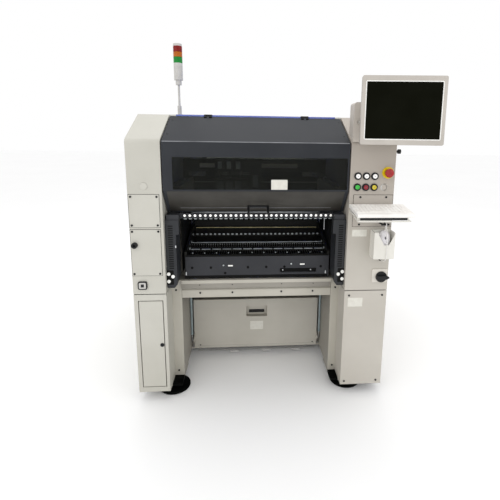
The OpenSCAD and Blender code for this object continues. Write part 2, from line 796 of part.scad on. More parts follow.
module signal_lens_green() {
  color([0.18, 0.66, 0.29]) translate([tower_x, tower_y, 0]) lens([lens_z[0], lens_z[1]]);
}
module signal_lens_amber() {
  color([0.85, 0.55, 0.18]) translate([tower_x, tower_y, 0]) lens([lens_z[1], lens_z[2]]);
}
module signal_lens_red() {
  color([0.62, 0.10, 0.14]) translate([tower_x, tower_y, 0]) lens([lens_z[2], lens_z[3]]);
}

// ---- monitor ----

monitor_centre = [right_in + 183, front_y - 132, cover_top + 11];
monitor_depth = 44;
monitor_lean = 2.4;
swivel_x = right_in + 103;
swivel_y = front_y - 32;
swivel_z = cover_top - 31;
swivel_r = 8;
tilt_back = monitor_depth + 26;
post_x = [right_in + 4, right_in + 62];
post_bore_x = post_x[0] + 24;
post_y = [front_y + 2, front_y + 70];
post_top = cover_top + 58;

// Frame of the monitor: origin at the middle of the screen's face, -Y towards the operator
module at_monitor() {
  translate(monitor_centre) rotate([0, 0, -monitor_yaw]) children();
}

module monitor_post() {
  color([0.75, 0.73, 0.69]) {
    difference() {
      along_y(post_y) polygon(rounded([
        [post_x[0], bend_z - 5], [post_x[1], bend_z - 5], [post_x[1], post_top], [post_x[0], post_top]
      ], [0, 0, 8, 14]));
      along_x([post_x[0] - 1, post_x[1] + 1]) polygon([
        [post_y[0] - 1, bend_z - 10], [post_y[1] + 1, bend_z - 10],
        [post_y[1] + 1, slope_z(post_y[1] + 1) + 0.3], [post_y[0] - 1, slope_z(post_y[0] - 1) + 0.3]
      ]);
      rod_y(post_bore_x, [post_y[0] - 1, post_y[0] + 20], swivel_z, 8);
    }
    difference() {
      rod_y(post_bore_x, [post_y[0] - 3, post_y[0]], swivel_z, 12);
      rod_y(post_bore_x, [post_y[0] - 4, post_y[0] + 1], swivel_z, 8);
    }
    // bracket with the two ears of the swivel
    block([post_x[1], swivel_x + 16], [post_y[0], post_y[0] + 22], [swivel_z - 30, swivel_z + 30]);
    for (z = [[swivel_z - 30, swivel_z - 16], [swivel_z + 16, swivel_z + 30]]) difference() {
      union() {
        block([swivel_x - 16, swivel_x + 16], [swivel_y, post_y[0]], z);
        rod_z(swivel_x, swivel_y, z, 16);
      }
      rod_z(swivel_x, swivel_y, [z[0] - 1, z[1] + 1], swivel_r + slip);
    }
  }
}

module monitor_arm() {
  reach = monitor_centre + tilt_back * [sin(monitor_yaw), cos(monitor_yaw), 0];
  run = norm([reach[0] - swivel_x, reach[1] - swivel_y]);
  heading = atan2(reach[1] - swivel_y, reach[0] - swivel_x);
  color([0.30, 0.30, 0.31]) {
    rod_z(swivel_x, swivel_y, [swivel_z - 34, swivel_z + 34], swivel_r);
    rod_z(swivel_x, swivel_y, [swivel_z - 15.5, swivel_z + 15.5], 15);
    translate([swivel_x, swivel_y, swivel_z]) rotate([0, 0, heading])
      block([8, run - 6], [-9, 9], [-14, 14]);
    at_monitor() {
      block([-12, 12], [tilt_back - 2, tilt_back + 16], [swivel_z - monitor_centre[2] - 14, 12]);
      rod_x([-12, 12], tilt_back, 0, 12);
      rod_x([-34, 34], tilt_back, 0, 5);
    }
  }
}

module monitor_housing() {
  w = monitor_w / 2;
  h = monitor_h / 2;
  color([0.80, 0.78, 0.74]) at_monitor() translate([0, tilt_back, 0]) rotate([-monitor_lean, 0, 0])
    translate([0, -tilt_back, 0]) {
      difference() {
        union() {
          along_y([0, 22]) polygon(rounded_box([-w, w], [-h, h], 8));
          along_y([22, 36]) polygon(rounded_box([-w + 18, w - 18], [-h + 18, h - 18], 14));
          along_y([36, monitor_depth]) polygon(rounded_box([-w + 60, w - 60], [-h + 55, h - 55], 10));
        }
        along_y([-1, 4]) polygon(rounded_box([-screen_w / 2, screen_w / 2],
                                              [-screen_h / 2, screen_h / 2], 1));
      }
      for (x = [[-26, -12.6], [12.6, 26]]) difference() {
        union() {
          block(x, [monitor_depth, tilt_back], [-12, 12]);
          rod_x(x, tilt_back, 0, 12);
        }
        rod_x([x[0] - 1, x[1] + 1], tilt_back, 0, 5 + slip);
      }
      block([-40, 40], [monitor_depth, monitor_depth + 4], [-40, 40]);
    }
}

module monitor_screen() {
  color([0.07, 0.08, 0.05]) at_monitor() translate([0, tilt_back, 0]) rotate([-monitor_lean, 0, 0])
    translate([0, -tilt_back, 0])
      along_y([1, 4]) polygon(rounded_box([-screen_w / 2 + 0.2, screen_w / 2 - 0.2],
                                          [-screen_h / 2 + 0.2, screen_h / 2 - 0.2], 1));
}

// ---- keyboard, mouse and their holders ----

keyboard_x = [right_in - 0.5, right_in - 0.5 + keyboard_w];
keyboard_back = [front_y - 8, 1029];
keyboard_slope = 8.2;
keyboard_t = 16;
tray_x = [keyboard_x[0] + 12, keyboard_x[1] - 22];

// Frame of the keyboard: origin at the middle of its back edge, on top, +X to the right
module at_keyboard() {
  translate([(keyboard_x[0] + keyboard_x[1]) / 2, keyboard_back[0], keyboard_back[1]])
    rotate([keyboard_slope, 0, 0]) children();
}

key_pitch = 17.6;
key_size = 15.8;

module key_block(x, row, units) {
  block([x, x + units * key_pitch - (key_pitch - key_size)],
        [-14 - row * key_pitch - key_size, -14 - row * key_pitch], [0, 3.2]);
}

module keyboard() {
  w = keyboard_w / 2;
  left = -w + 9;
  color([0.91, 0.90, 0.88]) at_keyboard() {
    along_x([-w, w]) polygon([
      [-keyboard_d, -keyboard_t + 4], [-keyboard_d + 4, -keyboard_t], [0, -keyboard_t], [0, -2],
      [-2, 0], [-keyboard_d + 6, 0], [-keyboard_d, -5]
    ]);
    for (row = [0:5]) {
      last = row == 5 ? 3 : row > 2 ? 12 : 13;
      for (i = [0:last - 1]) key_block(left + i * key_pitch, row, 1);
      if (row == 5) {
        key_block(left + 3 * key_pitch, row, 5);
        for (i = [8:13]) key_block(left + i * key_pitch, row, 1);
      } else {
        key_block(left + last * key_pitch, row, 14 - last);
      }
    }
  }
}

module keyboard_tray() {
  under = -keyboard_t - 0.4;
  // depth of the back plate's middle at height z, in the tilted tray's own frame
  function on_plate(z) =
    (front_y - panel_t - 2 - keyboard_back[0] + z * sin(keyboard_slope)) / cos(keyboard_slope);
  color([0.86, 0.85, 0.82]) {
    translate([0, keyboard_back[0], keyboard_back[1]]) rotate([keyboard_slope, 0, 0]) {
      // bent tray under the keyboard, with a low front lip
      along_x(tray_x) polygon(sheet([
        [2, under], [14 - keyboard_d, under], [14 - keyboard_d, under - 16]
      ], skin));
      // two arms under the tray
      for (x = [tray_x[0] + 90, tray_x[1] - 90]) along_x([x, x + 4]) polygon([
        [2, under - skin], [on_plate(under - 60), under - 60], [-104, under - 14], [-104, under - skin]
      ]);
    }
    // back plate on the tower
    block([tray_x[0] + 30, tray_x[1] - 30], [front_y - panel_t - 4, front_y - panel_t],
          [holder_z[1] + 39, keyboard_back[1] - keyboard_t - 5]);
  }
}

holder_x = [right_out - 103, right_out - 1];
holder_z = [768, 901];
holder_d = 62;
mouse_x = holder_x[0] + 62;
gland_x = mouse_x - 7;
gland_z = holder_z[0] - 16;

module mouse_holder() {
  color([0.84, 0.82, 0.78]) difference() {
    along_y([front_y - holder_d, front_y]) polygon(rounded_box(holder_x, holder_z, 4));
    block([holder_x[0] + 3, holder_x[1] - 3], [front_y - holder_d + 3, front_y - 3],
          [holder_z[0] + 14, holder_z[1] + 1]);
    // notch in the front wall, narrowing downwards
    along_y([front_y - holder_d - 1, front_y - holder_d + 4]) polygon([
      [mouse_x - 40, holder_z[1] + 1], [mouse_x - 40, holder_z[1] - 12], [mouse_x - 12, 838],
      [mouse_x + 12, 838], [mouse_x + 37, holder_z[1] - 12], [mouse_x + 37, holder_z[1] + 1]
    ]);
  }
}

mouse_y = front_y - holder_d / 2 + 2;
mouse_low = holder_z[0] + 14.3;
mouse_len = 118;

module mouse() {
  color([0.93, 0.92, 0.93]) difference() {
    intersection() {
      translate([mouse_x, mouse_y + 18, mouse_low + mouse_len / 2]) rotate([0, 0, 0])
        rotate([90, 0, 0]) linear_extrude(40) polygon(
          [for (a = [0:10:350]) [29 * cos(a) * (1 - 0.10 * sin(a)), mouse_len / 2 * sin(a)]]);
      along_x([mouse_x - 40, mouse_x + 40]) polygon(rounded([
        [mouse_y + 18, mouse_low - 1], [mouse_y + 18, mouse_low + mouse_len + 1],
        [mouse_y - 6, mouse_low + mouse_len + 1], [mouse_y - 20, mouse_low + 70],
        [mouse_y - 20, mouse_low + 30], [mouse_y - 4, mouse_low - 1]
      ], [0, 0, 4, 20, 20, 4]));
    }
    block([mouse_x - 0.6, mouse_x + 0.6], [mouse_y - 30, mouse_y - 10], [mouse_low + 62, mouse_low + 110]);
  }
}

// Route of the mouse's lead: from the gland's mouth up in front of the holder, over the clip under
// the keyboard and down to the mouse's nose
lead_start = [gland_x, front_y - 10.3, gland_z];
lead_route = [for (p = [
  [0, 0, 0], [0, -12, -1], [2, -36, 2], [5, -55, 16], [6, -59, 45], [6, -60, 85], [5, -58, 120],
  [4, -50, 155], [3, -45, 178], [3, -43.5, 184], [3, -41, 190], [3, -35, 192.5], [4, -29, 190],
  [5, -26.5, 184], [6, -24, 175], [7, -20, 162], [7, -19, 148.6]
]) lead_start + p];
clip_y = lead_start[1] - 35;
clip_z = gland_z + 184;
clip_r = 5;
clip_half = 19;
lead_r = 2;

function ring(c, dir, r, n) =
  let (side = unit(cross(dir, abs(dir[2]) > 0.9 ? [1, 0, 0] : [0, 0, 1])), up = cross(side, dir))
  [for (i = [0:n - 1]) c + r * (cos(360 * i / n) * side + sin(360 * i / n) * up)];

// Closed tube swept along a route
module tube(route, r, n) {
  last = len(route) - 1;
  rings = [for (i = [0:last])
    ring(route[i], unit(route[min(i + 1, last)] - route[max(i - 1, 0)]), r, n)];
  points = [for (one = rings, p = one) p];
  sides = [for (i = [0:last - 1], j = [0:n - 1])
    [i * n + j, i * n + (j + 1) % n, (i + 1) * n + (j + 1) % n, (i + 1) * n + j]];
  polyhedron(points, concat(
    [[for (j = [n - 1:-1:0]) j]], sides, [[for (j = [0:n - 1]) last * n + j]]), convexity = 10);
}

// Point of a smooth curve through the route's points
function smooth_point(p, i, t) =
  let (n = len(p) - 1, a = p[max(i - 1, 0)], b = p[i], c = p[min(i + 1, n)], d = p[min(i + 2, n)])
  0.5 * (2 * b + (c - a) * t + (2 * a - 5 * b + 4 * c - d) * t * t
         + (3 * b - a - 3 * c + d) * t * t * t);

function smooth_route(p, steps) = concat(
  [for (i = [0:len(p) - 2], k = [0:steps - 1]) smooth_point(p, i, k / steps)], [p[len(p) - 1]]);

module mouse_lead() {
  color([0.90, 0.89, 0.88]) tube(smooth_route(lead_route, 4), lead_r, 8);
}

// ---- push buttons, emergency stop and main switch ----

button_play = 0.1;
button_left = right_in + 37;
button_columns = [for (i = [0:2]) button_left + i * button_pitch];
button_places = concat([for (x = button_columns) [x, button_high]],
                       [for (x = button_columns) [x - 1, button_low]]);
button_proud = 4;

module button(place) {
  rod_y(place[0], [front_y - 5 - button_proud, front_y + 8], place[1], button_r);
  rod_y(place[0], [front_y + skin + 0.3, front_y + skin + 4], place[1], button_r + 3);
}

module button_white_left() {
  color([0.93, 0.92, 0.91]) button(button_places[0]);
}
module button_white_middle() {
  color([0.93, 0.92, 0.91]) button(button_places[1]);
}
module button_white_right() {
  color([0.93, 0.92, 0.91]) button(button_places[2]);
}
module button_green() {
  color([0.30, 0.75, 0.28]) button(button_places[3]);
}
module button_red() {
  color([0.55, 0.11, 0.16]) button(button_places[4]);
}
module button_yellow() {
  color([0.79, 0.75, 0.30]) button(button_places[5]);
}

stop_x = right_in + 182;
stop_z = button_high + 17;
stop_stem_r = 11;
stop_head_r = 21;
stop_collar_r = 28;

module stop_collar() {
  color([0.85, 0.75, 0.12]) difference() {
    rod_y(stop_x, [front_y - 6, front_y], stop_z, stop_collar_r);
    rod_y(stop_x, [front_y - 7, front_y + 1], stop_z, stop_stem_r + button_play);
  }
}

module stop_button() {
  color([0.65, 0.10, 0.11]) {
    rod_y(stop_x, [front_y - 18, front_y + 8], stop_z, stop_stem_r);
    rod_y(stop_x, [front_y + skin + 0.3, front_y + skin + 4], stop_z, stop_stem_r + 3);
    translate([stop_x, front_y - 15, stop_z]) rotate([90, 0, 0]) rotate_extrude() polygon([
      [0, 0], [stop_head_r - 5, 0], [stop_head_r, 4], [stop_head_r, 12], [stop_head_r - 3, 16], [0, 18]
    ]);
  }
}

switch_x = right_in + 181;
switch_z = 658;

module switch_plate() {
  color([0.82, 0.80, 0.76]) difference() {
    along_y([front_y - 5, front_y]) polygon(rounded_box(
      [switch_x - 46, switch_x + 33], [switch_z - 29, switch_z + 39], 5));
    rod_y(switch_x, [front_y - 6, front_y + 1], switch_z, 9 + slip);
  }
}

module main_switch() {
  color([0.07, 0.07, 0.07]) {
    rod_y(switch_x, [front_y - 10, front_y - seat], switch_z, 9);
    difference() {
      rod_y(switch_x, [front_y - 26, front_y - 5.3], switch_z, switch_r);
      for (s = [-1, 1])
        block([switch_x - switch_r - 1, switch_x + switch_r + 1], [front_y - 27, front_y - 12],
              s > 0 ? [switch_z + 9, switch_z + switch_r + 1] : [switch_z - switch_r - 1, switch_z - 9]);
    }
    along_y([front_y - 26, front_y - 12]) polygon([
      [switch_x + 20, switch_z - 9], [switch_x + switch_r + 8, switch_z - 3],
      [switch_x + switch_r + 8, switch_z + 3], [switch_x + 20, switch_z + 9]
    ]);
  }
}

// ---- waste flap and its gas springs ----

flap_t = 3;
flap_hinge_y = flap_y + 6;
flap_hinge_z = flap_z[0] + 4;
flap_pin_r = 4;
flap_x = [bay_left + 16, bay_right - 16];
grip_x = [bay_mid - 61, bay_mid + 66];
grip_z = [flap_z[1] - 114, flap_z[1] - 45];
spring_y = flap_y - 32;
spring_low_z = flap_z[0] + 77;
spring_top_z = spring_low_z + 345;
spring_inset = 8;
tube_r = 6.5;
tube_low_z = spring_low_z + 37;
rod_top_z = spring_low_z + 275;

module waste_flap() {
  color([0.66, 0.65, 0.60]) {
    difference() {
      union() {
        block(flap_x, [flap_y, flap_y + flap_t], [flap_z[0] + 12, flap_z[1]]);
        block(flap_x, [flap_y, flap_y + 20], [flap_z[1] - flap_t, flap_z[1]]);
        block([grip_x[0] - 3, grip_x[1] + 3], [flap_y, flap_y + 34], [grip_z[0] - 3, grip_z[1] + 3]);
        along_x(flap_x) polygon(sheet([
          [flap_hinge_y, flap_z[0] + 12 - 11], [flap_y, flap_z[0] + 5], [flap_y, flap_z[0] + 13]
        ], -flap_t));
        rod_x([bay_left - 5, bay_right + 5], flap_hinge_y, flap_hinge_z, flap_pin_r);
      }
      block(grip_x, [flap_y - 1, flap_y + 31], grip_z);
    }
    // ears that the gas springs' rods act on
    for (x = [[flap_x[0] + 1, flap_x[0] + 4], [flap_x[1] - 4, flap_x[1] - 1]])
      along_x(x) polygon([
        [flap_y, spring_low_z - 30], [flap_y, spring_low_z + 30],
        [spring_y - 9, spring_low_z + 10], [spring_y - 9, spring_low_z - 10]
      ]);
  }
}

spring_places = [bay_left + spring_inset, bay_right - spring_inset];

module flap_spring_tubes() {
  color([0.52, 0.57, 0.56]) for (i = [0, 1]) {
    x = spring_places[i];
    difference() {
      union() {
        rod_z(x, spring_y, [tube_low_z + 8, spring_top_z - 12], tube_r);
        rod_z(x, spring_y, [tube_low_z, tube_low_z + 8], tube_r + 1);
        rod_x([x - 4, x + 4], spring_y, spring_top_z, 9);
        rod_z(x, spring_y, [spring_top_z - 14, spring_top_z], 4);
      }
      rod_z(x, spring_y, [tube_low_z - 12, rod_top_z + 20], 3 + slip);
      rod_x([x - 5, x + 5], spring_y, spring_top_z, 4 + slip);
    }
  }
}

module flap_spring_rods() {
  color([0.75, 0.76, 0.77]) for (i = [0, 1]) {
    x = spring_places[i];
    rod_z(x, spring_y, [spring_low_z + 4, rod_top_z], 3);
    rod_x([x - 4, x + 4], spring_y, spring_low_z, 6);
    // stud that faces the flap's ear
    rod_x(i == 0 ? [x, flap_x[0] + 0.7] : [flap_x[1] - 0.7, x], spring_y, spring_low_z, 3.5);
  }
}

// ---- conveyor ----

rail_drop = 50;
fixed_rail_y = -board_w / 2 - rail_t;
moving_rail_y = board_w / 2;
rail_top = board_z + 8;
guide_z = board_z - 100;
guide_r = 8;
guide_places = [bay_mid - 330, bay_mid + 330];
table_x = [-160, 160];
lift_y = fixed_rail_y + 88;
table_z = [board_z - 70, board_z - 58];
lift_r = 12;

// Board rail with the groove that the board's edge runs in; s = 1 opens towards +Y
module board_rail(y0, s) {
  translate([0, y0, 0]) mirror([0, s < 0 ? 1 : 0, 0]) along_x([left_out + 5, right_out - 5]) polygon([
    [0, board_z - rail_drop], [rail_t - 6, board_z - rail_drop], [rail_t - 6, board_z - 14],
    [rail_t + 3, board_z - 14], [rail_t + 3, board_z], [rail_t - 2, board_z],
    [rail_t - 2, board_z + 3], [rail_t, board_z + 3], [rail_t, rail_top], [0, rail_top]
  ]);
}

module conveyor_frame() {
  color([0.62, 0.63, 0.64]) {
    board_rail(fixed_rail_y, 1);
    for (x = guide_places) {
      // upright under the fixed rail, and a guide shaft from it to the rear rack's back plate
      block([x - 14, x + 14], [fixed_rail_y - 18, fixed_rail_y + 6], [bed_top, board_z - rail_drop]);
      rod_y(x, [fixed_rail_y + 6, -rack_back - seat], guide_z, guide_r);
    }
    // cylinder that lifts the support table
    difference() {
      rod_z(0, lift_y, [bed_top, table_z[0] - 60], 26);
      rod_z(0, lift_y, [bed_top + 20, table_z[0] - 59], lift_r + slip);
    }
  }
}

module moving_rail() {
  color([0.66, 0.67, 0.68]) {
    board_rail(moving_rail_y + rail_t, -1);
    for (x = guide_places) difference() {
      block([x - 16, x + 16], [moving_rail_y + 1, moving_rail_y + 31], [guide_z - 18, board_z - rail_drop]);
      rod_y(x, [moving_rail_y, moving_rail_y + 32], guide_z, guide_r + slip);
    }
  }
}

module support_table() {
  color([0.55, 0.56, 0.57]) {
    rod_z(0, lift_y, [bed_top + 60, table_z[0]], lift_r);
    block(table_x, [lift_y - 60, lift_y + 60], table_z);
    for (x = [-130, -65, 65, 130], y = [-40, 40]) rod_z(x, lift_y + y, [table_z[1], table_z[1] + 20], 3);
  }
}

// ---- gantry ----

linear_rail_h = 18;
gantry_left_mid = (gantry_left[0] + gantry_left[1]) / 2;
gantry_right_mid = (gantry_right[0] + gantry_right[1]) / 2;
run_gap = 0.4;

module gantry_rails() {
  color([0.78, 0.79, 0.80]) for (x = [gantry_left_mid, gantry_right_mid])
    translate([x, 0, 0]) along_y([-gantry_end + 10, gantry_end - 10]) polygon([
      [-10, gantry_z], [10, gantry_z], [10, gantry_z + 6], [7, gantry_z + 10],
      [10, gantry_z + 13], [10, gantry_z + 18], [-10, gantry_z + 18], [-10, gantry_z + 13],
      [-7, gantry_z + 10], [-10, gantry_z + 6]
    ]);
}

beam_half = 40;
beam_z = [gantry_z + 40, gantry_z + 114];
truck_half = 75;

module cross_beam() {
  x = [gantry_left_mid, gantry_right_mid];
  top = gantry_z + linear_rail_h + run_gap;
  color([0.66, 0.66, 0.64]) {
    difference() {
      block([x[0] - 22, x[1] + 16], [beam_y - beam_half, beam_y + beam_half], beam_z);
      block([x[0] + 60, x[1] - 60], [beam_y - beam_half + 8, beam_y + beam_half - 8],
            [beam_z[0] - 1, beam_z[1] - 8]);
    }
    for (mid = x) difference() {
      block([mid - 18, mid + 16], [beam_y - truck_half, beam_y + truck_half], [gantry_z + 4, beam_z[0]]);
      block([mid - 10.4, mid + 10.4], [beam_y - truck_half - 1, beam_y + truck_half + 1],
            [gantry_z + 3, top]);
    }
    // linear rail for the head on the beam's front face
    for (z = head_rail_z)
      block([x[0] + 40, x[1] - 40], [beam_y - beam_half - 10, beam_y - beam_half], [z - 6, z + 6]);
  }
}

head_rail_z = [beam_z[0] + 16, beam_z[0] + 58];
head_w = 280;
head_y = [beam_y - beam_half - 96, beam_y - beam_half - 14];
spindle_y = head_y[0] + 24;
spindle_low = board_z + 35;
block_z = [gantry_z - 80, gantry_z + 2];
spindle_count = 3;
function spindle_x(i) = head_x - head_w / 2 + 95 + (i - 1) * spindle_pitch;

module placement_head() {
  x = [head_x - head_w / 2, head_x + head_w / 2];
  color([0.72, 0.73, 0.72]) {
    difference() {
      union() {
        // carriage plate with its two runner blocks
        block(x, [head_y[1] - 14, head_y[1]], [block_z[0], beam_z[1] + 8]);
        // spindle housing and motor block
        block([x[0], x[0] + 190], [head_y[0], head_y[1] - 14], block_z);
        for (i = [0:spindle_count - 1])
          block([spindle_x(i) - 17, spindle_x(i) + 17], [head_y[0] + 6, head_y[1] - 14],
                [beam_z[0] + 12, beam_z[1] + 4]);
        // board camera beside the spindles
        block([x[1] - 72, x[1] - 10], [head_y[0] + 14, head_y[1] - 14],
              [block_z[0] + 10, block_z[1] + 28]);
        rod_z(x[1] - 41, (head_y[0] + head_y[1]) / 2, [block_z[0] - 25, block_z[0] + 10], 18);
      }
      for (i = [0:spindle_count - 1])
        rod_z(spindle_x(i), spindle_y, [block_z[0] - 1, block_z[1] + 1], spindle_r + slip);
    }
    for (z = head_rail_z) difference() {
      block([x[0] + 20, x[1] - 20], [head_y[1], head_y[1] + 12], [z - 12, z + 12]);
      block([x[0] + 19, x[1] - 19], [head_y[1] + 4 - run_gap, head_y[1] + 13],
            [z - 6 - run_gap, z + 6 + run_gap]);
    }
  }
}

module spindle(i) {
  translate([spindle_x(i), spindle_y, 0]) {
    rod_z(0, 0, [spindle_low + 26, block_z[1] + 44], spindle_r);
    rod_z(0, 0, [block_z[1] + 36.3, block_z[1] + 47], spindle_r + 5);
    translate([0, 0, spindle_low]) cylinder(r1 = 2, r2 = 5, h = 18);
    rod_z(0, 0, [spindle_low + 18, spindle_low + 34], 12);
  }
}

module spindle_1() {
  color([0.80, 0.80, 0.80]) spindle(0);
}
module spindle_2() {
  color([0.80, 0.80, 0.80]) spindle(1);
}
module spindle_3() {
  color([0.80, 0.80, 0.80]) spindle(2);
}

// ---- drawing ----

base_frame();
levelling_feet();
left_tower_cover();
left_lower_cover();
right_tower_cover();
right_lower_cover();
access_panels();
cover_screws();
panel_fittings();
beam_covers();
centre_cabinet();
roof_cover();
roof_window();
feeder_guards();
feeder_panels();
feeder_racks();
lane_lamps();
guard_caps();
signal_tower_post();
signal_lens_red();
signal_lens_amber();
signal_lens_green();
monitor_post();
monitor_arm();
monitor_housing();
monitor_screen();
keyboard_tray();
keyboard();
mouse_holder();
mouse();
mouse_lead();
button_white_left();
button_white_middle();
button_white_right();
button_green();
button_red();
button_yellow();
stop_collar();
stop_button();
switch_plate();
main_switch();
left_door();
door_lock();
front_hood();
front_hood_window();
hood_handle();
rear_hood();
rear_hood_window();
waste_flap();
flap_spring_tubes();
flap_spring_rods();
conveyor_frame();
moving_rail();
support_table();
gantry_rails();
cross_beam();
placement_head();
spindle_1();
spindle_2();
spindle_3();
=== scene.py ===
"""Looks of a floor-standing machine that places electronic parts, built around its CAD frame."""
import math

import bpy
import numpy as np
from mathutils import Matrix, Vector


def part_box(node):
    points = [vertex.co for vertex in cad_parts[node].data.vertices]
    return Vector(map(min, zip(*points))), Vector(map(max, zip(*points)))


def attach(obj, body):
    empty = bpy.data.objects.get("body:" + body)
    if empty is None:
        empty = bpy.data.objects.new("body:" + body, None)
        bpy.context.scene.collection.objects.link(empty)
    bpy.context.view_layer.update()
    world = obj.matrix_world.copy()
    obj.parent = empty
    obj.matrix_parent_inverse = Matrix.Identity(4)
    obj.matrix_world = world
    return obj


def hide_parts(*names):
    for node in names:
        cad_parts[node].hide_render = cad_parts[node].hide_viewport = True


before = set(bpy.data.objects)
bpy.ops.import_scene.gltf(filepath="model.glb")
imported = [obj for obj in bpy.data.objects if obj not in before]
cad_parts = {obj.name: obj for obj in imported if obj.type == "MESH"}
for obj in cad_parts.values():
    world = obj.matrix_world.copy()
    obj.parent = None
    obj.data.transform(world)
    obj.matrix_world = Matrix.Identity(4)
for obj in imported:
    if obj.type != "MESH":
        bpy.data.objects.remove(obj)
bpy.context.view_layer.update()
MM = 0.001


# ---- camera and light ----

def aim(yaw, pitch, roll):
    """Turn of a camera that looks along +Y, then yaw towards +X, pitch up and roll, in degrees."""
    yaw, pitch, roll = np.radians([yaw, pitch, roll])
    forward = np.array([math.sin(yaw) * math.cos(pitch), math.cos(yaw) * math.cos(pitch), math.sin(pitch)])
    right = np.array([math.cos(yaw), -math.sin(yaw), 0.0])
    up = np.cross(right, forward)
    turned = math.cos(roll) * right + math.sin(roll) * up
    rest = -math.sin(roll) * right + math.cos(roll) * up
    return Matrix(np.stack([turned, rest, -forward], 1).tolist())


camera_data = bpy.data.cameras.new("camera")
camera = bpy.data.objects.new("camera", camera_data)
bpy.context.scene.collection.objects.link(camera)
camera_data.sensor_width = 36
camera_data.lens = 26.8
camera_data.shift_x = -0.057
camera_data.shift_y = -0.0842
camera_data.clip_end = 60
camera.matrix_world = Matrix.Translation((-0.0708, -2.4546, 1.338)) @ aim(4.6, -10.7, 0.8).to_4x4()
bpy.context.scene.camera = camera
bpy.context.scene.view_settings.view_transform = "Standard"


def light(name, place, target, size, power):
    """Square area light that faces a target."""
    data = bpy.data.lights.new(name, "AREA")
    data.size = size
    data.energy = power
    made = bpy.data.objects.new(name, data)
    bpy.context.scene.collection.objects.link(made)
    made.location = place
    made.rotation_euler = (Vector(target) - Vector(place)).to_track_quat("-Z", "Y").to_euler()


light("key_light", (-2.6, -3.6, 3.6), (0, 0, 0.8), 2.6, 22)
light("fill_light", (3.2, -3.2, 2.4), (0, 0, 0.7), 2.8, 13)
light("front_light", (0.2, -4.2, 1.1), (0, 0, 0.5), 2.4, 6)
light("top_light", (0, 0.5, 4.2), (0, 0, 0), 3.0, 38)


# ---- shader building ----

def hue(code):
    """Linear red, green, blue and alpha of an sRGB hex value."""
    channels = [int(code[i:i + 2], 16) / 255 for i in (1, 3, 5)]
    return [c / 12.92 if c <= 0.04045 else ((c + 0.055) / 1.055) ** 2.4 for c in channels] + [1.0]


def add(tree, kind, settings=None, links=None):
    """Adds a shader node, with settings by property or socket name and links by socket name."""
    made = tree.nodes.new("ShaderNode" + kind)
    for key, value in (settings or {}).items():
        if key == "stops":
            while len(made.color_ramp.elements) < len(value):
                made.color_ramp.elements.new(0.5)
            for element, (place, colour) in zip(made.color_ramp.elements, value):
                element.position = place
                element.color = colour
        elif hasattr(made, str(key)):
            setattr(made, key, value)
        else:
            made.inputs[key].default_value = value
    for key, output in (links or {}).items():
        tree.links.new(output, made.inputs[key])
    return made


def fresh(name, **sockets):
    """New material: its node tree, its shader with the given sockets, and object coordinates in metres."""
    made = bpy.data.materials.new(name)
    made.use_nodes = True
    tree = made.node_tree
    shader = tree.nodes["Principled BSDF"]
    for key, value in sockets.items():
        shader.inputs[key.replace("_", " ")].default_value = value
    return made, tree, shader, add(tree, "TexCoord").outputs["Object"]


def finish(name, tones, roughness, grain, relief, cloud=0.3, edge=0.0, stretch=(1, 1, 1), fade=None,
           **sockets):
    """Surface of one real material.

    tones are its darker and lighter shade; cloud, in metres, is the size of the soft patches between
    them. grain is the width of its surface texture in metres and relief that texture's height, and
    stretch draws the grain out along an axis. edge is the radius that light rolls over at its edges.
    fade is a second shade: (shade, axis, where it is strongest, where it ends, its strength there).
    """
    made, tree, shader, place = fresh(name, **sockets)
    patches = add(tree, "TexNoise", {"Scale": 1 / cloud, "Detail": 4, "Roughness": 0.6}, {"Vector": place})
    shade = add(tree, "ValToRGB", {"stops": [(0.32, hue(tones[0])), (0.68, hue(tones[1]))]},
                {"Fac": patches.outputs["Fac"]}).outputs["Color"]
    if fade:
        second, fade_axis, strongest, ends, strength = fade
        along = add(tree, "SeparateXYZ", None, {"Vector": place}).outputs[fade_axis]
        share = add(tree, "MapRange", {"From Min": strongest, "From Max": ends, "To Min": strength,
                                       "To Max": 0.0}, {"Value": along}).outputs["Result"]
        shade = add(tree, "MixRGB", {"Color2": hue(second)}, {"Fac": share, "Color1": shade}).outputs["Color"]
    tree.links.new(shade, shader.inputs["Base Color"])
    drawn = add(tree, "Mapping", {"Scale": stretch}, {"Vector": place}).outputs["Vector"]
    texture = add(tree, "TexNoise", {"Scale": 1 / grain, "Detail": 2}, {"Vector": drawn}).outputs["Fac"]
    gloss = add(tree, "MapRange", {"From Min": 0.3, "From Max": 0.7, "To Min": roughness[0],
                                   "To Max": roughness[1]}, {"Value": patches.outputs["Fac"]})
    tree.links.new(gloss.outputs["Result"], shader.inputs["Roughness"])
    bump = add(tree, "Bump", {"Distance": relief, "Strength": 1.0}, {"Height": texture})
    if edge:
        rolled = add(tree, "Bevel", {"samples": 4, "Radius": edge}).outputs["Normal"]
        tree.links.new(rolled, bump.inputs["Normal"])
    tree.links.new(bump.outputs["Normal"], shader.inputs["Normal"])
    return made


# ---- materials ----

ORANGE_PEEL = 0.0022  # width of the dimples that powder coat dries with

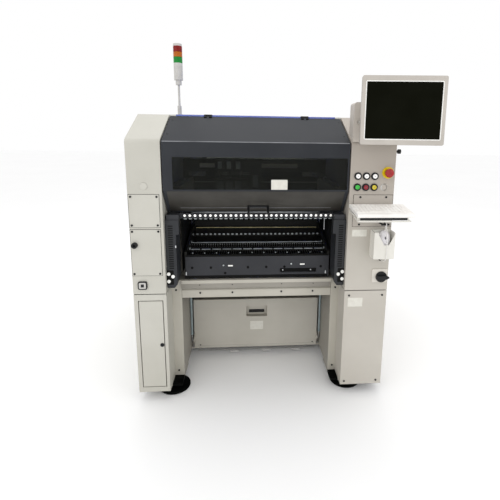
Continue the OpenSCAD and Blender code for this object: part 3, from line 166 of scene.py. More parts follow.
# Powder-coated sheet steel: satin, finely dimpled, a little dusty near the floor
cover_coat = finish("powder_coat_pale_grey", ("#b6b4aa", "#c2c0b7"), (0.42, 0.55), ORANGE_PEEL, 0.00012,
                    0.5, 0.0015, fade=("#b4b1a6", "Z", 0.05, 0.42, 0.55))
# Right towers: the same coat painted darker and warmer, as painted shade on the side that gets less light,
# and darker still towards the top, as painted shadow under the monitor
right_coat_painted_shade = finish("powder_coat_warm_grey_painted_shade", ("#b2ada3", "#beb9b0"), (0.42, 0.55), ORANGE_PEEL, 0.00012,
                    0.5, 0.0015, fade=("#a39a90", "Z", 1.2, 0.78, 0.85))
# Access panels: from X = 0.40 m rightwards they take the right towers' painted shade
panel_coat_and_painted_shade = finish("powder_coat_panel_grey_and_painted_shade", ("#b7b5ab", "#c3c1b8"), (0.45, 0.58), ORANGE_PEEL, 0.00012,
                    0.4, 0.001, fade=("#aea79e", "X", 0.41, 0.40, 1.0))
beam_coat = finish("powder_coat_beige", ("#aca89c", "#b9b5aa"), (0.4, 0.55), ORANGE_PEEL, 0.00012,
                   0.35, 0.0015)
frame_coat = finish("powder_coat_stone", ("#8d8981", "#9a968d"), (0.45, 0.6), ORANGE_PEEL, 0.00015,
                    0.3, 0.0015)
cabinet_coat = finish("powder_coat_shade_grey", ("#9c988e", "#a8a49a"), (0.45, 0.6), ORANGE_PEEL, 0.00015,
                      0.3)
flap_coat = finish("powder_coat_flap_grey", ("#b3afa4", "#c0bcb2"), (0.45, 0.6), ORANGE_PEEL, 0.00015,
                   0.4, 0.001)
roof_coat = finish("powder_coat_roof_grey", ("#cdcbc4", "#d8d6d0"), (0.4, 0.55), ORANGE_PEEL, 0.00012, 0.4)
hood_coat = finish("powder_coat_slate", ("#2b2d31", "#34363a"), (0.45, 0.58), ORANGE_PEEL, 0.0001,
                   0.35, 0.002, Specular_IOR_Level=0.14)
guard_coat = finish("powder_coat_black", ("#222427", "#2a2c30"), (0.4, 0.52), ORANGE_PEEL, 0.00015,
                    0.2, 0.001, Specular_IOR_Level=0.35)
plate_coat = finish("powder_coat_graphite", ("#2a2b2f", "#333438"), (0.4, 0.52), ORANGE_PEEL, 0.00012,
                    0.3, 0.001, Specular_IOR_Level=0.3)
post_coat = finish("powder_coat_post_grey", ("#b6afa6", "#c2bbb2"), (0.42, 0.55), ORANGE_PEEL, 0.00012,
                   0.25, 0.0015)
tray_coat = finish("powder_coat_ivory", ("#d8d5cd", "#e2e0d9"), (0.4, 0.5), ORANGE_PEEL, 0.0001, 0.2, 0.001)
gantry_coat = finish("powder_coat_gantry_grey", ("#1c1d1d", "#282929"), (0.45, 0.6), ORANGE_PEEL, 0.00012,
                     0.3, 0.001)

# Smoke-tinted sheet over the hood's lower slope: a brown cast against the slate paint
smoke_sheet = finish("smoke_tinted_sheet", ("#33312d", "#403e3a"), (0.3, 0.42), 0.004, 0.00002, 0.12, 0.0008,
                     Specular_IOR_Level=0.3)
# Painted highlight on the hood's fold and on its lower slope's seam, where their edges catch the light
fold_painted_highlight = finish("painted_fold_highlight", ("#5d5f63", "#8b8d91"), (0.3, 0.42), 0.01, 0.00003, 0.15)
# Painted shade on the upper half of the beam: the same coat in a darker tone
beam_painted_shade = finish("powder_coat_beige_painted_shade", ("#86827a", "#938f86"), (0.45, 0.6), ORANGE_PEEL, 0.00012,
                    0.35)
# Matt black liner behind slots and at the sides of the bay
black_liner = finish("matt_black_liner", ("#0a0a0a", "#141413"), (0.7, 0.85), 0.002, 0.00005, 0.1,
                     Specular_IOR_Level=0.15)
# Blackened steel of the feeder banks: nearly black, oily, streaked along the rails
lane_steel = finish("blackened_steel", ("#0d0d0a", "#1f1f1b"), (0.45, 0.65), 0.004, 0.00008, 0.06,
                    stretch=(0.08, 1, 1), Specular_IOR_Level=0.25)
# Yellow-passivated zinc of the upper lane bars: a dull gold that shifts along the bar
yellow_zinc = finish("yellow_passivated_zinc", ("#a89c6c", "#e2d6a4"), (0.3, 0.5), 0.003, 0.00003, 0.05,
                     stretch=(0.3, 1, 1), Metallic=0.35)
# Worn steel of the lower lane bars, polished by the feeders that slide over it
worn_steel = finish("worn_bright_steel", ("#8d9496", "#ccd2d2"), (0.25, 0.45), 0.002, 0.00004, 0.08,
                    stretch=(0.2, 1, 1), Metallic=0.35)
# Ground bearing steel: bright, fine lines along the rail
ground_steel = finish("ground_steel", ("#b4b6b8", "#cfd1d3"), (0.18, 0.3), 0.0012, 0.00003, 0.1,
                      stretch=(1, 0.05, 1), Metallic=1.0)
# Zinc-plated pressed steel: pale metal with soft patches
zinc = finish("zinc_plate", ("#b9bcbe", "#dadcdd"), (0.25, 0.42), 0.003, 0.00004, 0.03, Metallic=1.0)
# Anodised aluminium: even satin metal with fine drawing lines along X
anodised = finish("anodised_aluminium", ("#9fa2a4", "#b0b3b5"), (0.32, 0.42), 0.0015, 0.00003, 0.3,
                  stretch=(0.04, 1, 1), Metallic=0.9)
# Black-anodised aluminium of the placing head: matt, barely lighter on its flats
black_anodised = finish("black_anodised_aluminium", ("#1b1c1e", "#2a2b2d"), (0.4, 0.55), 0.0015, 0.00003,
                        0.06, Metallic=0.3)
# Moulded covers of the placing head: mid grey, so that they part from the black behind them
head_cover = finish("moulded_grey_head_cover", ("#56585b", "#6b6d70"), (0.4, 0.55), 0.0012, 0.00004, 0.05)
# Black-oxide screws: dark, slightly oily
black_oxide = finish("black_oxide_steel", ("#141518", "#1e1f22"), (0.3, 0.45), 0.001, 0.00004, 0.01,
                     Metallic=0.6)
# Enamelled gas-spring tubes: smooth grey-blue gloss
enamel = finish("grey_blue_enamel", ("#7d8a8c", "#94a3a6"), (0.2, 0.3), 0.003, 0.00002, 0.1,
                Coat_Weight=0.3, Coat_Roughness=0.1)

MOULD_GRAIN = 0.0011  # spark-eroded texture of a plastic mould

# Moulded plastics: a fine even grain, duller on handles and glossier on caps
black_abs = finish("moulded_black_abs", ("#0e0f10", "#17181a"), (0.4, 0.55), MOULD_GRAIN, 0.00006, 0.04,
                   Specular_IOR_Level=0.3)
foot_nylon = finish("glass_filled_nylon", ("#020302", "#080908"), (0.65, 0.8), 0.0025, 0.00015, 0.05,
                    Specular_IOR_Level=0.05)
ivory_abs = finish("moulded_ivory_abs", ("#ece8e3", "#f5f3ef"), (0.38, 0.5), MOULD_GRAIN, 0.00006, 0.06)
bezel_abs = finish("moulded_putty_abs", ("#b1aba3", "#bdb7af"), (0.36, 0.48), MOULD_GRAIN, 0.00007,
                   0.12, 0.001)
mouse_abs = finish("polished_white_abs", ("#e9e6ea", "#f2f0f3"), (0.2, 0.3), 0.004, 0.00001, 0.05,
                   Coat_Weight=0.25, Coat_Roughness=0.08)
wheel_grey = finish("grey_wheel_rubber", ("#5c5d60", "#6c6d70"), (0.6, 0.75), 0.001, 0.00005, 0.01)
white_cap = finish("gloss_white_nylon", ("#ecebe6", "#f8f8f4"), (0.25, 0.35), 0.002, 0.00004, 0.01)
signal_abs = finish("satin_grey_abs", ("#b5b3af", "#c6c4c0"), (0.3, 0.42), MOULD_GRAIN, 0.00005, 0.03)
jacket = finish("pvc_jacket_white", ("#dcdad6", "#e9e7e4"), (0.42, 0.55), 0.0012, 0.00004, 0.02)
# Screen-printed vinyl stickers, left blank
vinyl = finish("blank_vinyl_sticker", ("#cfccc2", "#dad8cf"), (0.3, 0.42), 0.001, 0.00002, 0.02)
# Black rubber of the gaskets; the same black paints shade in the access panels' gaps and under the keyboard
rubber_seal_and_painted_shade = finish("epdm_rubber_and_painted_shade", ("#0e0e0f", "#18181a"), (0.65, 0.8), 0.0015, 0.00012, 0.05)
putty_plate = finish("moulded_switch_plate", ("#cdc8be", "#d8d3ca"), (0.4, 0.5), MOULD_GRAIN, 0.00006, 0.03)


def dyed(name, tones, coat=0.12):
    """Injection-moulded gloss plastic in one dye, with a clear skin and faint flow marks."""
    return finish(name, tones, (0.16, 0.26), 0.003, 0.00002, 0.012, Coat_Weight=coat, Coat_Roughness=0.05)


key_white = dyed("gloss_white_button", ("#efedeb", "#fbfaf8"))
key_green = dyed("gloss_green_button", ("#1c9c2a", "#3cc446"))
key_red = dyed("gloss_red_button", ("#7c0c1c", "#941828"))
key_yellow = dyed("gloss_yellow_button", ("#c0a81c", "#d6c43a"))
collar_yellow = dyed("gloss_yellow_collar", ("#d3b408", "#e4c81c"))
stop_red = dyed("satin_red_mushroom", ("#8c0a0e", "#a61216"), 0.05)


def acrylic(name, tint, see, roughness, scratch, ior=1.49):
    """Cast acrylic sheet: a clear skin over the dyed sheet, with wiped-on haze and fine scratches."""
    made, tree, shader, place = fresh(name, Transmission_Weight=see, IOR=ior)
    haze = add(tree, "TexNoise", {"Scale": 9.0, "Detail": 5}, {"Vector": place}).outputs["Fac"]
    shade = add(tree, "ValToRGB", {"stops": [(0.3, hue(tint[0])), (0.7, hue(tint[1]))]}, {"Fac": haze})
    tree.links.new(shade.outputs["Color"], shader.inputs["Base Color"])
    wiped = add(tree, "MapRange", {"From Min": 0.35, "From Max": 0.75, "To Min": roughness[0],
                                   "To Max": roughness[1]}, {"Value": haze}).outputs["Result"]
    tree.links.new(wiped, shader.inputs["Roughness"])
    lines = add(tree, "Mapping", {"Scale": (6, 1, 400)}, {"Vector": place}).outputs["Vector"]
    fine = add(tree, "TexNoise", {"Scale": 1.0, "Detail": 3}, {"Vector": lines}).outputs["Fac"]
    bump = add(tree, "Bump", {"Distance": scratch}, {"Height": fine})
    tree.links.new(bump.outputs["Normal"], shader.inputs["Normal"])
    return made


# Smoked window with an anti-glare coat, so it mirrors less than bare acrylic
smoked = acrylic("smoked_acrylic", ("#7c7e78", "#888a84"), 0.96, (0.01, 0.05), 0.00001, 1.2)
smoked.node_tree.nodes["Principled BSDF"].inputs["Specular Tint"].default_value = hue("#2c2c2c")
# Blue roof window: cloudy, so the inside only glows through it
blue_sheet = acrylic("blue_tinted_acrylic", ("#8396ee", "#97a9f4"), 0.55, (0.12, 0.3), 0.00002)


def lens_plastic(name, tones):
    """Polycarbonate signal lens: dyed through and lit from the room, lighter where it is thin."""
    made, tree, shader, place = fresh(name, Transmission_Weight=0.05, IOR=1.58, Roughness=0.25,
                                      Specular_IOR_Level=0.2)
    height = add(tree, "SeparateXYZ", None, {"Vector": place}).outputs["Z"]
    ribs = add(tree, "Math", {"operation": "SINE"},
               {0: add(tree, "Math", {"operation": "MULTIPLY", 1: 2 * math.pi / 0.006},
                       {0: height}).outputs["Value"]}).outputs["Value"]
    mixed = add(tree, "MapRange", {"From Min": -1, "From Max": 1}, {"Value": ribs}).outputs["Result"]
    shade = add(tree, "ValToRGB", {"stops": [(0.0, hue(tones[0])), (1.0, hue(tones[1]))]}, {"Fac": mixed})
    tree.links.new(shade.outputs["Color"], shader.inputs["Base Color"])
    return made


lens_red = lens_plastic("red_polycarbonate", ("#5c0a0c", "#9c1a12"))
lens_amber = lens_plastic("amber_polycarbonate", ("#8f430a", "#d97a16"))
lens_green = lens_plastic("green_polycarbonate", ("#0a6a24", "#169a3a"))

# White lane lamps: diffusing caps lit from behind, a little uneven from cap to cap
lamp_glow, lamp_tree, lamp_shader, lamp_place = fresh("lit_diffuser", Roughness=0.35)
lamp_patches = add(lamp_tree, "TexNoise", {"Scale": 40.0}, {"Vector": lamp_place}).outputs["Fac"]
lamp_shade = add(lamp_tree, "ValToRGB", {"stops": [(0.3, hue("#e4e2dc")), (0.7, hue("#ffffff"))]},
                 {"Fac": lamp_patches}).outputs["Color"]
lamp_tree.links.new(lamp_shade, lamp_shader.inputs["Base Color"])
lamp_tree.links.new(lamp_shade, lamp_shader.inputs["Emission Color"])
lamp_shader.inputs["Emission Strength"].default_value = 0.4

# Switched-off liquid crystal screen behind an anti-glare film
screen_film = finish("anti_glare_film", ("#0c0d06", "#10110a"), (0.4, 0.5), 0.0008, 0.00001, 0.1,
                     Specular_IOR_Level=0.02)

NODE_FINISH = {
    "base_frame": frame_coat, "levelling_feet": foot_nylon, "left_tower_cover": cover_coat,
    "left_lower_cover": cover_coat, "right_tower_cover": right_coat_painted_shade, "right_lower_cover": right_coat_painted_shade,
    "access_panels": panel_coat_and_painted_shade, "cover_screws": black_oxide, "panel_fittings": black_abs,
    "beam_covers": beam_coat, "centre_cabinet": cabinet_coat, "roof_cover": roof_coat,
    "roof_window": blue_sheet, "feeder_guards": guard_coat, "feeder_panels": plate_coat,
    "feeder_racks": lane_steel, "lane_lamps": lamp_glow, "guard_caps": white_cap,
    "signal_tower_post": signal_abs, "signal_lens_red": lens_red, "signal_lens_amber": lens_amber,
    "signal_lens_green": lens_green, "monitor_post": post_coat, "monitor_arm": guard_coat,
    "monitor_housing": bezel_abs, "monitor_screen": screen_film, "keyboard_tray": tray_coat,
    "keyboard": ivory_abs, "mouse_holder": tray_coat, "mouse": mouse_abs, "mouse_lead": jacket,
    "button_white_left": key_white, "button_white_middle": key_white, "button_white_right": key_white,
    "button_green": key_green, "button_red": key_red, "button_yellow": key_yellow,
    "stop_collar": collar_yellow, "stop_button": stop_red, "switch_plate": putty_plate,
    "main_switch": black_abs, "left_door": cover_coat, "door_lock": black_oxide, "front_hood": hood_coat,
    "front_hood_window": smoked, "hood_handle": black_abs, "rear_hood": hood_coat,
    "rear_hood_window": smoked, "waste_flap": flap_coat, "flap_spring_tubes": enamel,
    "flap_spring_rods": ground_steel, "conveyor_frame": anodised, "moving_rail": anodised,
    "support_table": anodised, "gantry_rails": ground_steel, "cross_beam": gantry_coat,
    "placement_head": black_anodised, "spindle_1": ground_steel, "spindle_2": ground_steel,
    "spindle_3": ground_steel,
}
for node_name, material in NODE_FINISH.items():
    for material_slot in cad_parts[node_name].material_slots:
        material_slot.material = material


# ---- mesh building ----

def grid_faces(rings, around, copies=1):
    """Four-sided faces between neighbouring rings of points that close round, for each copy."""
    ring, step = np.meshgrid(np.arange(rings - 1), np.arange(around), indexing="ij")
    nxt = (step + 1) % around
    one = np.stack([ring * around + step, ring * around + nxt, (ring + 1) * around + nxt,
                    (ring + 1) * around + step], -1).reshape(-1, 4)
    return (one[None] + (np.arange(copies) * rings * around)[:, None, None]).reshape(-1, 4)


def piece(name, rings, material, body, smooth=True, replaces=()):
    """Closed piece from stacked rings of points, an array of copies by rings by points by XYZ.

    The first and last ring of each copy close on themselves as one many-sided face. Where a copy's
    rings turn it inside out, that copy's faces are turned round, judged by its own signed volume.
    """
    rings = np.asarray(rings, float)
    if rings.ndim == 3:
        rings = rings[None]
    copies, count, around, _ = rings.shape
    quads = grid_faces(count, around, copies)
    start = np.arange(copies)[:, None] * count * around
    first = start + np.arange(around)[::-1]
    last = start + (count - 1) * around + np.arange(around)
    points = rings.reshape(-1, 3)
    a, b, c, d = (points[quads[:, i]] for i in range(4))
    middle = rings.mean((1, 2)).repeat((count - 1) * around, 0)
    volume = ((np.cross(b - a, c - a) + np.cross(c - a, d - a)) * (a - middle)).sum(1)
    inside_out = volume.reshape(copies, -1).sum(1) < 0
    sides = quads.reshape(copies, -1, 4)
    for group in (sides, first, last):
        group[inside_out] = group[inside_out][..., ::-1]
    faces = sides.reshape(-1, 4).tolist() + first.tolist() + last.tolist()
    data = bpy.data.meshes.new(name)
    data.from_pydata((points * MM).tolist(), [], faces)
    data.polygons.foreach_set("use_smooth", np.full(len(data.polygons), smooth))
    data.materials.append(material)
    data.update()
    made = bpy.data.objects.new(name, data)
    bpy.context.scene.collection.objects.link(made)
    if smooth:
        made.data.set_sharp_from_angle(angle=math.radians(38))
    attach(made, body)
    if replaces:
        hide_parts(*replaces)
    return made


def lathe(profile, centres, axis="y", around=32):
    """Rings of a turned shape: each profile point is (distance along the axis, radius)."""
    along, radius = np.array(profile, float).T
    angle = np.linspace(0, 2 * math.pi, around, endpoint=False)
    u = radius[:, None] * np.cos(angle)
    v = radius[:, None] * np.sin(angle)
    w = np.broadcast_to(along[:, None], u.shape)
    order = {"x": (w, u, v), "y": (u, w, v), "z": (u, v, w)}[axis]
    shape = np.stack(order, -1)
    return np.asarray(centres, float).reshape(-1, 1, 1, 3) + shape


def outline(width, height, radius, per_corner=5):
    """Points round a rectangle: each corner's centre plus the radius times (cos, sin) of its angle."""
    angle = np.radians(np.arange(0, 360, 90)[:, None] + np.linspace(0, 90, per_corner))
    sign = np.array([[1, 1], [-1, 1], [-1, -1], [1, -1]])
    x = sign[:, :1] * (width / 2 - radius) + radius * np.cos(angle)
    y = sign[:, 1:] * (height / 2 - radius) + radius * np.sin(angle)
    return np.stack([x.ravel(), y.ravel()], 1)


def plates(centres, width, height, radius, thick, round_over=0.3, out=(0, -1, 0), right=(1, 0, 0)):
    """Rings of flat plates with rounded corners that stand out from a face along out.

    Each ring is the outline drawn in by the plate's edge profile: base, side, and a small round-over.
    """
    out, right = np.array(out, float), np.array(right, float)
    up = np.cross(right, -out)
    profile = [(0, 0), (0, thick - round_over), (round_over * 0.3, thick - round_over * 0.3),
               (round_over, thick)]
    rings = []
    for inset, rise in profile:
        flat = outline(width - 2 * inset, height - 2 * inset, max(radius - inset, 0.05))
        rings.append(flat[:, :1] * right + flat[:, 1:] * up + rise * out)
    return np.asarray(centres, float).reshape(-1, 1, 1, 3) + np.stack(rings)


def tube(path, radius, around=12):
    """Rings round a path: at each point, a circle square to the path's direction there."""
    path = np.asarray(path, float)
    ahead = np.gradient(path, axis=0)
    ahead /= np.linalg.norm(ahead, axis=1, keepdims=True)
    guide = np.where(np.abs(ahead[:, 2:]) > 0.9, [[1.0, 0, 0]], [[0, 0, 1.0]])
    side = np.cross(ahead, guide)
    for i in range(1, len(side)):  # keeps each ring's start in line with the ring before it
        side[i] = side[i - 1] - ahead[i] * (side[i - 1] @ ahead[i])
    side /= np.linalg.norm(side, axis=1, keepdims=True)
    up = np.cross(ahead, side)
    angle = np.linspace(0, 2 * math.pi, around, endpoint=False)[None, :, None]
    return path[:, None] + radius * (np.cos(angle) * side[:, None] + np.sin(angle) * up[:, None])


def smooth_path(points, steps):
    """Catmull-Rom curve through the points: each span blends four neighbours by cubic weights."""
    p = np.asarray(points, float)
    padded = np.concatenate([p[:1], p, p[-1:]])
    t = (np.arange(steps) / steps)[None, :, None]
    a, b, c, d = (padded[i:len(padded) - 3 + i, None] for i in range(4))
    curve = 0.5 * (2 * b + (c - a) * t + (2 * a - 5 * b + 4 * c - d) * t ** 2
                   + (3 * b - a - 3 * c + d) * t ** 3)
    return np.concatenate([curve.reshape(-1, 3), p[-1:]])


# ---- where the CAD model says things are ----
# Places are in millimetres: X to the right, Y to the back, Z up from the floor under the middle.

def mm_box(node_name):
    """Lowest and highest corner of a CAD node, in millimetres."""
    low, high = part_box(node_name)
    return np.array(low) / MM, np.array(high) / MM


def node_points(node_name):
    """Every point of a CAD node, in millimetres."""
    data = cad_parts[node_name].data
    points = np.empty(len(data.vertices) * 3)
    data.vertices.foreach_get("co", points)
    return points.reshape(-1, 3) / MM


tower_low, tower_high = mm_box("right_tower_cover")
front_y = tower_low[1]
right_in, right_out = tower_low[0], tower_high[0]
left_low, left_high = mm_box("left_tower_cover")
left_in = left_high[0]
window_low, window_high = mm_box("front_hood_window")
bay_middle = (left_in + right_in) / 2
leg_y = mm_box("beam_covers")[0][1] + 12
FLAP_FACE_Y = -320.0                # front face of the waste flap

# ---- the mouse's lead, which is a free cord ----

mouse_low, mouse_high = mm_box("mouse")
mouse_x = (mouse_low[0] + mouse_high[0]) / 2
lead_start = np.array([mouse_x - 7, front_y - 10.3, mm_box("mouse_holder")[0][2] - 16])
LEAD_RADIUS = 2.0
lead_points = lead_start + np.array([
    [0, 0, 0], [0, -12, -1], [2, -36, 2], [5, -55, 16], [6, -59, 45], [6, -60, 85], [5, -58, 120],
    [4, -50, 155], [3, -45, 178], [3, -43.5, 184], [3, -41, 190], [3, -35, 192.5], [4, -29, 190],
    [5, -26.5, 184], [6, -24, 175], [7, -20, 162], [7, -19, 148.6]])
lead_path = smooth_path(lead_points, 8)
lead = piece("mouse_lead_cord", tube(lead_path, LEAD_RADIUS), jacket, "machine",
             replaces=("mouse_lead",))


# ---- bars and screws ----

def bar(low, high, round_off=0.5):
    """Rings of a bar along X: a rounded rectangle, drawn in by round_off at both ends."""
    low, high = np.array(low, float), np.array(high, float)
    middle, half = (low + high) / 2, (high - low) / 2
    rings = []
    for along, inset in ((-half[0], round_off), (-half[0] + round_off, 0), (half[0] - round_off, 0),
                         (half[0], round_off)):
        flat = outline(2 * (half[1] - inset), 2 * (half[2] - inset), max(round_off, 0.2), 3)
        rings.append(np.stack([np.full(len(flat), along), flat[:, 0], flat[:, 1]], 1))
    return (middle + np.stack(rings))[None]


def bars(lows, highs, round_off=0.5):
    """Several bars in one piece."""
    return np.concatenate([bar(low, high, round_off) for low, high in zip(lows, highs)])


def screw_head(radius, rise):
    """Profile of a cap screw's head from its seat outwards: side, rounded rim, and a sunk socket."""
    return [(0, radius * 0.96), (-rise * 0.75, radius), (-rise, radius * 0.86), (-rise, radius * 0.5),
            (-rise * 0.45, radius * 0.46), (-rise * 0.4, 0.01)]


MIRROR = np.array([1, -1, 1])       # front to back


def both_sides(points):
    """The same points, or rings of points, in front and mirrored behind."""
    points = np.asarray(points, float)
    return np.concatenate([points, points * MIRROR])


def row(places, middle_y, half, bottom, top, round_off=0.5):
    """Equal blocks at each X in places, in front and mirrored behind; half is half the width and depth."""
    spots = [(x, side * middle_y) for side in (1, -1) for x in places]
    return bars([(x - half[0], y - half[1], bottom) for x, y in spots],
                [(x + half[0], y + half[1], top) for x, y in spots], round_off)


# ---- feeder banks: bright bars over the rails and the comb that parts the lanes ----

rack_low, rack_high = mm_box("feeder_racks")
lane_x = (rack_low[0] + 12, rack_high[0] - 12)
beam_top = mm_box("beam_covers")[1][2]
LANES = 60
LANE_PITCH = 12.4
lane_middle = (lane_x[0] + lane_x[1]) / 2
# each rail: depth behind the leg faces, top above the beam, width
RAILS = {"second": (84, 138, 14), "third": (152, 156, 12), "fourth": (238, 181, 12), "fifth": (328, 198, 14)}


def rail_strip(name, material, count, gap, tall=1.2):
    """Bright strip on a rail's top, in count lengths with a gap between them, front and back."""
    depth, rise, width = RAILS[name]
    middle_y = leg_y + depth
    top = beam_top + rise
    edges = np.linspace(lane_x[0] + 8, lane_x[1] - 8, count + 1)
    half = ((edges[1] - edges[0] - gap) / 2, width / 2 - 1)
    strips = row((edges[:-1] + edges[1:]) / 2, middle_y, half, top, top + tall)
    piece(name + "_lane_bar", strips, material, "machine")


rail_strip("second", worn_steel, 13, 9, 3.0)
rail_strip("third", worn_steel, 1, 0, 2.8)
rail_strip("fourth", black_oxide, 14, 7, 1.6)
rail_strip("fifth", yellow_zinc, 1, 0, 4.0)

lane_places = lane_middle + (np.arange(LANES) - (LANES - 1) / 2) * LANE_PITCH
comb_y = leg_y + 114
piece("lane_comb_teeth", row(lane_places, comb_y, (0.9, 2), beam_top + 140, beam_top + 160, 0.3),
      worn_steel, "machine", smooth=False)
comb_half = (lane_x[1] - lane_x[0]) / 2 - 6
piece("lane_comb_bar", row([lane_middle], comb_y, (comb_half, 3), beam_top + 134, beam_top + 141),
      black_oxide, "machine")

# small spring latches at the ends of the rails
latches = []
for rail_name in ("second", "third"):
    depth, rise, _ = RAILS[rail_name]
    latches.append(row((lane_x[0] + 5, lane_x[1] - 5), leg_y + depth, (3, 4), beam_top + rise - 2,
                       beam_top + rise + 10, 1.5))
piece("rail_end_latches", np.concatenate(latches), worn_steel, "machine")

# ---- feeder plate: screws, blank number strips, latches ----

plate_y = leg_y + 3.0
PLATE_SCREW_X = (-365, -269, -77, 19, 115, 309)
front_screws = [(x, plate_y, 668) for x in PLATE_SCREW_X] + [(-196, plate_y, 637)]
piece("feeder_plate_screws", lathe(screw_head(6.2, 3.4), front_screws), black_liner, "machine")
piece("feeder_plate_strips", plates([(-168, plate_y, 677), (210, plate_y, 681)], 25, 7, 1.5, 1.0),
      white_cap, "machine")
piece("feeder_plate_pins", lathe([(0, 4.4), (-3, 4.4), (-4.2, 3.2), (-4.4, 0.01)],
                                 [(-204, plate_y, 680), (151, plate_y, 684)]), worn_steel, "machine")

# ---- blank stickers where such machines carry their notices ----

STICKERS = {  # centre, width, height, body
    "tower": ((right_in + 59.5, front_y, 883), 73, 34, "machine"),
    "lower": ((right_in + 57, front_y, 521), 76, 48, "machine"),
    "window": ((71.5, window_low[1], 1119.5), 77, 47, "front_hood"),
    "flap": ((-25, FLAP_FACE_Y, 194.5), 80, 55, "waste_flap"),
}
for sticker, (centre, width, height, sticker_body) in STICKERS.items():
    piece(sticker + "_blank_sticker", plates([centre], width, height, 2.5, 0.4, 0.1), vinyl, sticker_body)

# ---- hood window gasket: a rubber cord that follows the window's edge ----

gasket_edge = outline(window_high[0] - window_low[0] + 4, window_high[2] - window_low[2] + 4, 6, 6)
gasket_edge = np.concatenate([gasket_edge, gasket_edge[:1]])
window_middle = (window_low + window_high) / 2
for gasket_side, gasket_body in ((1, "front_hood"), (-1, "rear_hood")):
    gasket_path = np.stack([window_middle[0] + gasket_edge[:, 0],
                            np.full(len(gasket_edge), gasket_side * (window_low[1] + 1.2)),
                            window_middle[2] + gasket_edge[:, 1]], 1)
    piece(gasket_body + "_gasket", tube(gasket_path, 1.8, 8), rubber_seal_and_painted_shade, gasket_body)

# ---- beam screws, upper row ----

beam_low = mm_box("beam_covers")[0]
beam_screw_places = [(x, beam_low[1], 579) for x in (-327, -159, 100, 269)]
piece("beam_screws", lathe(screw_head(3.0, 1.6), beam_screw_places, around=20), black_oxide, "machine")

# ---- keyboard tray's wire, and a painted shadow under the keyboard's front ----

key_low = mm_box("keyboard")[0]
tray_low, tray_high = mm_box("keyboard_tray")
WIRE_RADIUS = 3.2
wire_x = (tray_low[0] - 6, tray_high[0] + 5)
wire_y = (tray_low[1] - 5, tray_high[1] - 6)
wire_z = (key_low[2] - 18, key_low[2] + 8)
wire_corners = [(wire_x[0], wire_y[1], wire_z[1]), (wire_x[0], wire_y[0] + 26, wire_z[0] + 4),
                (wire_x[0] + 4, wire_y[0] + 8, wire_z[0] + 1), (wire_x[0] + 16, wire_y[0], wire_z[0]),
                (wire_x[1] - 16, wire_y[0], wire_z[0]), (wire_x[1] - 4, wire_y[0] + 8, wire_z[0] + 1),
                (wire_x[1], wire_y[0] + 26, wire_z[0] + 4), (wire_x[1], wire_y[1], wire_z[1])]
piece("keyboard_tray_wire", tube(smooth_path(wire_corners, 6), WIRE_RADIUS, 12), tray_coat, "machine")
piece("keyboard_painted_shadow", bar((tray_low[0] + 4, tray_low[1] - 2, key_low[2] - 13),
                          (tray_high[0] - 8, tray_low[1] + 3, key_low[2] - 0.5), 1.0), rubber_seal_and_painted_shade, "machine")

# ---- black caps on the frame's foot plates, in front of the legs ----

foot_cap_low, foot_cap_high = [], []
for cap_x in ((left_in - 1, left_in + 50.5), (right_in - 41.5, right_in + 1)):
    for cap_side in (1, -1):
        cap_y = sorted((cap_side * 665.6, cap_side * (-leg_y - 2)))
        foot_cap_low.append((cap_x[0], cap_y[0], 43.4))
        foot_cap_high.append((cap_x[1], cap_y[1], 57.2))
piece("foot_plate_caps", bars(foot_cap_low, foot_cap_high, 0.6), foot_nylon, "machine")

# ---- painted shade in the gaps round the access panels ----

panel_points = node_points("access_panels")
PANEL_JOINT_Z, PANEL_TOP_Z = 910, 1080  # between the left tower's two panels, and above all panels
GAP_OUT, GAP_IN = 1.8, 0.3          # how far a gap reaches out from, and in under, a panel's edge
panel_x, panel_z = panel_points[:, 0], panel_points[:, 2]
gap_low, gap_high = [], []
for chosen in ((panel_x < 0) & (panel_z > PANEL_JOINT_Z) & (panel_z < PANEL_TOP_Z),
               (panel_x < 0) & (panel_z < PANEL_JOINT_Z), (panel_x > 0) & (panel_z < PANEL_TOP_Z)):
    (x0, _, z0), (x1, _, z1) = panel_points[chosen].min(0), panel_points[chosen].max(0)
    gap_low += [(x0 - GAP_OUT, front_y - 0.5, z0 - GAP_OUT), (x0 - GAP_OUT, front_y - 0.5, z1 - GAP_IN),
                (x0 - GAP_OUT, front_y - 0.5, z0), (x1 - GAP_IN, front_y - 0.5, z0)]
    gap_high += [(x1 + GAP_OUT, front_y + 1, z0 + GAP_IN), (x1 + GAP_OUT, front_y + 1, z1 + GAP_OUT),
                 (x0 + GAP_IN, front_y + 1, z1), (x1 + GAP_OUT, front_y + 1, z1)]
piece("access_panel_gaps", bars(gap_low, gap_high, 0.2), rubber_seal_and_painted_shade, "machine",
      smooth=False)

# ---- push buttons: a small grey mark on each cap, and the blank plug beside them ----

for button_name in ("white_left", "white_middle", "white_right", "green", "red", "yellow"):
    cap_low, cap_high = mm_box("button_" + button_name)
    cap_middle = (cap_low + cap_high) / 2
    mark = plates([(cap_middle[0], cap_low[1], cap_middle[2])], 6, 1.8, 0.8, 0.25, 0.1)
    piece("button_" + button_name + "_mark", mark, wheel_grey, "button_" + button_name)
plug_profile = [(0, 16.5), (-1.2, 16.5), (-2.0, 15.6), (-2.0, 13.6), (-1.4, 13.0), (-1.4, 0.01)]
piece("blank_hole_plug", lathe(plug_profile, [(right_in + 166, front_y, 1110)], around=40), signal_abs,
      "machine")


# ---- mouse: a smooth shell with a wheel ----

